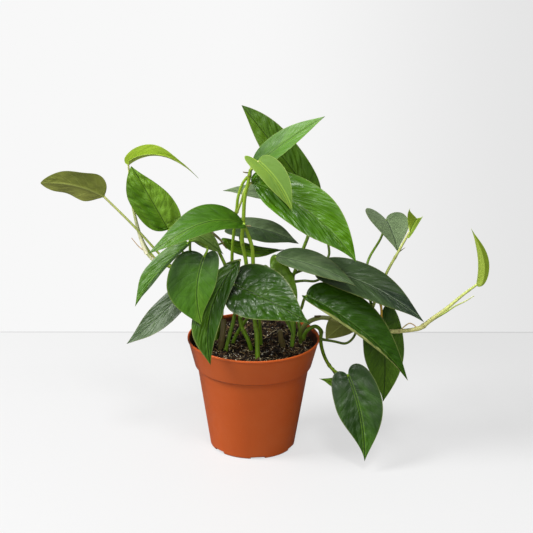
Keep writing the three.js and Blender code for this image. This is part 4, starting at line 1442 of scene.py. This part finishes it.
@dataclass(frozen=True)
class Earth:
    """Dark potting soil, and the bits in it, which bring their own colours.

    Attributes:
        wet: The colour of its wet parts.
        depth: How deep its lumps are, in metres.
    """

    wet: Rgb = (20, 14, 10)
    depth: float = 0.0006

    def material(self) -> bpy.types.Material:
        """Makes the soil: lumps that are darker where they are wet.

        Returns:
            The material.
        """
        bench = Bench("soil_mix")
        lumps = bench.noise(700, 4)
        dark = bench.ramp(lumps, 0.35, 0.7, 0, 0.6)
        colour = bench.mix(dark, bench.own("skin", "Color"), linear(self.wet))
        bench.surface(Base_Color=colour, Roughness=0.92, Normal=bench.bump(lumps, self.depth, 0.8), IOR=1.35)
        return bench.material


@dataclass
class Soil:
    """The filling of the pot, a little below the rim.

    Attributes:
        top: Height of its surface.
        radius: How far it reaches at the top.
        bank: How much higher it lies against the pot's back.
        floor: Height of its underside, and its radius there.
        waist: Height and radius where the pot's lip starts.
        shelf: Height and radius where it has filled the lip's foot.
        edge: How far from the wall its bits stay.
        rings: How many rings its surface has.
        segments: How many sides it has round its axis.
        colour: The colour of the soil itself.
        draws: Where the bits' places, turns and sizes come from.
    """

    top: float = 95.0
    radius: float = 55.6
    bank: float = 5.0
    floor: Pair = (1.9, 37.0)
    waist: Pair = (79.1, 49.2)
    shelf: Pair = (80.6, 51.4)
    edge: float = 1.5
    rings: int = 45
    segments: int = 120
    colour: Rgb = (28, 20, 15)
    draws: np.random.Generator = field(default_factory=lambda: np.random.default_rng(7))

    def height(self, x: np.ndarray, y: np.ndarray) -> np.ndarray:
        """Works out the surface's height: its level, a bank towards the back, and crossed sines.

        Args:
            x: Places across the pot, in mm.
            y: Places from front to back, in mm.

        Returns:
            The heights in mm.
        """
        slow = np.sin(0.21 * x + 1.3) + np.sin(0.17 * y - 0.11 * x) + np.sin(0.29 * y + 0.7)
        lumps = np.sin(0.9 * x + 0.4 * y) * np.sin(0.8 * y - 0.5 * x + 1)
        fine = np.sin(2.1 * x - 1.3 * y + 2) * np.sin(1.9 * y + 1.1 * x)
        bank = self.bank * np.maximum(0, (y + 10) / 65) ** 2
        return self.top + bank + 0.27 * slow + 0.45 * lumps + 0.2 * fine

    def body(self, draft: Draft) -> None:
        """Adds the soil itself: a turned shape whose top follows height().

        Args:
            draft: Where it goes.
        """
        angle = around(self.segments)
        shares = np.linspace(1, 0, self.rings + 1)[:-1]
        level, radius = np.array([self.floor, self.waist, self.shelf]).T
        level = np.concatenate([level, np.full(len(shares), self.top)])
        radius = np.concatenate([radius, self.radius * shares])
        x, y = radius[:, None] * np.cos(angle), radius[:, None] * np.sin(angle)
        z = np.where(level[:, None] < self.top, level[:, None], self.height(x, y))
        middle = float(self.height(np.zeros(1), np.zeros(1))[0])
        ends = [(0, 0, self.floor[0]), (0, 0, middle)]
        points = np.vstack([np.stack([x, y, z], axis=-1).reshape(-1, 3), ends])
        skin = np.tile(linear(self.colour), (len(points), 1))
        draft.add(points, ringed(len(radius), len(angle)), values={"skin": skin})

    def scatter(self, draft: Draft, crumbs: Crumbs) -> None:
        """Strews one kind of crumb over the soil.

        Each is an octahedron whose corners are pushed in and out, stretched, turned about all axes and
        laid on the surface. Straws lie nearly level.

        Args:
            draft: Where they go.
            crumbs: Their kind.
        """
        draw = self.draws
        count = crumbs.count
        reach = (self.radius - self.edge) * np.sqrt(draw.uniform(0, 1, count))
        bearing = draw.uniform(0, 2 * math.pi, count)
        x, y = reach * np.cos(bearing), reach * np.sin(bearing)
        size = draw.uniform(*crumbs.size, count)
        shape = np.array([(1, 0, 0), (0, 1, 0), (-1, 0, 0), (0, -1, 0), (0, 0, 1), (0, 0, -1)], float)
        roof = np.array([(0, 1, 4), (1, 2, 4), (2, 3, 4), (3, 0, 4)])
        faces = np.vstack([roof, roof[:, [1, 0, 2]] + (0, 0, 1)])
        bits = shape * (crumbs.long, 1, crumbs.flat) * draw.uniform(0.75, 1.25, (count, 6, 1))
        bits = bits * size[:, None, None]
        turn = draw.uniform(0, 2 * math.pi, count)
        tilt = draw.normal(0, 0.9 if crumbs.long < 3 else 0.3, count)
        cos, sin, lean, rise = np.cos(turn), np.sin(turn), np.cos(tilt), np.sin(tilt)
        rows = [[cos * lean, -sin, cos * rise], [sin * lean, cos, sin * rise], [-rise, 0 * cos, lean]]
        matrix = np.array(rows).transpose(2, 0, 1)
        bits = np.einsum("nij,nkj->nki", matrix, bits)
        middle = np.stack([x, y, self.height(x, y) + crumbs.lift], axis=1)
        points = (bits + middle[:, None]).reshape(-1, 3)
        inside = np.hypot(points[:, 0], points[:, 1]).reshape(count, 6).max(axis=1) < self.radius
        table = np.array([linear(colour) for colour in crumbs.colours])
        skin = np.repeat(table[draw.integers(0, len(table), count)], 6, axis=0)
        blocks = (np.arange(count)[inside] * 6)[:, None, None] + faces[None]
        draft.add(points, [blocks.reshape(-1, 3)], values={"skin": skin})

    def build(self) -> None:
        """Makes the soil in place of its solid, and the bits on it as pieces of their own."""
        earth = Earth().material()
        ground = Draft()
        self.body(ground)
        place(ground.build("soil_ground", [earth], sharp=80), "soil", "soil")
        for crumbs in CRUMBS:
            bits = Draft()
            self.scatter(bits, crumbs)
            place(bits.build(f"soil_{crumbs.name}", [earth], sharp=20), "soil")


@dataclass
class Studio:
    """The plain pale table, the soft light and the camera of the photograph.

    Attributes:
        focal: The lens's focal length on a sensor 36 mm wide.
        target: The point that the camera looks at.
        distance: How far it stands from there.
        pitch: How far it looks down, in degrees.
        roll: How far it is turned about its own axis, in degrees.
        table_edge: Where the table ends behind the plant at x = 0, and how far that line slants.
        bright_side: The direction that most of the room's light comes from.
        room: How strong the room's light is from the dull side and from the bright side.
        room_span: The cosines to the bright side between which it changes.
        wall: The colours of the wall at the left and at the right: painted darker to the right, as if less
            light reached there.
        wall_span: The cosines to the right between which it changes.
        strip: How deep the table's darker edge looks, a painted shadow line where the table ends.
    """

    focal: float = 150.3
    target: Point = (0.0111, 0.0, 0.1727)
    distance: float = 2.0
    pitch: float = 20.1
    roll: float = 0.66
    table_edge: Pair = (0.2743, 0.029)
    bright_side: Point = (-0.55, -0.25, 0.797)
    room: Pair = (0.04, 0.4)
    room_span: Pair = (-0.35, 1.0)
    wall: tuple[Rgb, Rgb] = ((248, 248, 248), (228, 228, 228))
    wall_span: Pair = (-0.02, 0.14)
    strip: float = 0.0034

    def camera(self) -> None:
        """Makes the camera: it stands back from the target along its own line of sight."""
        data = bpy.data.cameras.new("camera")
        data.lens, data.sensor_width, data.sensor_fit = self.focal, 36.0, "HORIZONTAL"
        data.clip_start, data.clip_end = 0.05, 60.0
        pitch, roll = math.radians(self.pitch), math.radians(self.roll)
        forward = Vector((0, math.cos(pitch), -math.sin(pitch)))
        level, above = Vector((1, 0, 0)), Vector((0, math.sin(pitch), math.cos(pitch)))
        right = math.cos(roll) * level + math.sin(roll) * above
        up = math.cos(roll) * above - math.sin(roll) * level
        camera = show("camera", data)
        axes = Matrix((right, up, -forward)).transposed().to_4x4()
        camera.matrix_world = Matrix.Translation(Vector(self.target) - self.distance * forward) @ axes
        bpy.context.scene.camera = camera

    def table(self) -> None:
        """Makes the table top, a wide plain sheet that ends in a thin darker strip behind the plant, a
        painted shadow line. For the camera alone it glows too, evenly but for a painted falloff towards the
        back right.
        """
        # The edge is a thin darker strip: a painted shadow line where the table ends.
        top, edge = Bench("table_white"), Bench("table_edge")
        for bench, shade, glow in ((top, 120, 0.61), (edge, 112, 0.52)):
            seen = bench.node("LightPath").outputs["Is Camera Ray"]
            parts = bench.node("SeparateXYZ", {0: bench.coordinates}).outputs
            # Painted shade: the glow that the camera sees dims towards the back right, as if less light
            # reached there.
            far = bench.ramp(bench.calc("ADD", parts[0], parts[1]), 0.1, 0.5, glow, glow - 0.1)
            bench.surface(Base_Color=linear((shade,) * 3), Roughness=0.6, Emission_Color=linear((255,) * 3))
            bench.surface(Emission_Strength=bench.calc("MULTIPLY", seen, far))
        wide, deep = 3.0, 3.0
        middle, slant = self.table_edge
        left, right = middle - slant * wide, middle + slant * wide
        corners = [(-wide, -deep, 0), (wide, -deep, 0), (wide, right - self.strip, 0),
                   (-wide, left - self.strip, 0), (wide, right, 0), (-wide, left, 0)]
        mesh = bpy.data.meshes.new("table")
        mesh.from_pydata(corners, [], [(0, 1, 2, 3), (3, 2, 4, 5)])
        mesh.materials.append(top.material)
        mesh.materials.append(edge.material)
        mesh.polygons[1].material_index = 1
        table = show("table", mesh)

    def lamp(self, name: str, where: Point, aim: Point, size: Pair, power: float,
             shines: bool = True) -> None:
        """Makes one soft light.

        Args:
            name: Its name.
            where: Where it stands.
            aim: What it points at.
            size: Its width and height.
            power: Its power in watts.
            shines: Whether it is mirrored by what it lights.
        """
        data = bpy.data.lights.new(name, "AREA")
        data.shape, data.size, data.size_y, data.energy = "RECTANGLE", *size, power
        lamp = show(name, data)
        lamp.location = where
        lamp.visible_glossy = shines
        lamp.rotation_euler = (Vector(aim) - Vector(where)).to_track_quat("-Z", "Y").to_euler()

    def surroundings(self) -> None:
        """Makes the room: a pale wall to the eye, painted darker towards the right as if less light reached
        it, and as a light bright from the upper left.

        The light is a soft step of the cosine between a ray and the brightest direction.
        """
        world = bpy.data.worlds.new("room")
        room = Wiring(world)
        way = room.node("TexCoord").outputs["Generated"]

        def towards(direction: Point, cosines: Pair, strengths: Pair) -> bpy.types.Node:
            """Makes a white light whose strength changes softly with the way that it comes from.

            Args:
                direction: The way that the cosines are measured from.
                cosines: Where the change starts and stops.
                strengths: The strength before it and after it.

            Returns:
                Its Background node.
            """
            dot = room.node("VectorMath", {0: way, 1: direction}, operation="DOT_PRODUCT")
            strength = room.ramp(dot.outputs["Value"], *cosines, *strengths)
            return room.node("Background", {"Color": (1.0, 1.0, 1.0, 1.0), "Strength": strength})

        left, right = (linear(colour)[0] for colour in self.wall)
        lit = towards(self.bright_side, self.room_span, self.room)
        # Painted shade: the wall that the camera sees darkens towards the right.
        seen = towards((1.0, 0.0, 0.0), self.wall_span, (left, right))
        eye = room.node("LightPath").outputs["Is Camera Ray"]
        mix = room.node("MixShader", {0: eye, 1: lit.outputs[0], 2: seen.outputs[0]})
        room.node("OutputWorld", {"Surface": mix.outputs[0]})
        bpy.context.scene.world = world

    def build(self) -> None:
        """Makes the camera, the table and the light."""
        self.camera()
        self.table()
        self.surroundings()
        self.lamp("window", (-1.8, -0.45, 2.0), (0, 0, 0.12), (1.0, 1.0), 84)
        self.lamp("skylight", (0.25, -1.4, 2.55), (0, 0, 0.15), (0.6, 0.6), 34)
        self.lamp("fill", (0.4, -2.4, 1.2), (0, 0, 0.12), (1.4, 1.4), 20, False)
        settings = bpy.context.scene.view_settings
        settings.view_transform, settings.look = "Standard", "None"


def main() -> None:
    """Builds the studio and the plant."""
    logging.basicConfig(level=logging.INFO, format="%(message)s")
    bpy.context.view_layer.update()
    Studio().build()
    Pot().build()
    Soil().build()
    Stems().build()
    Foliage().build()


if __name__ == "__main__":
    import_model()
    main()
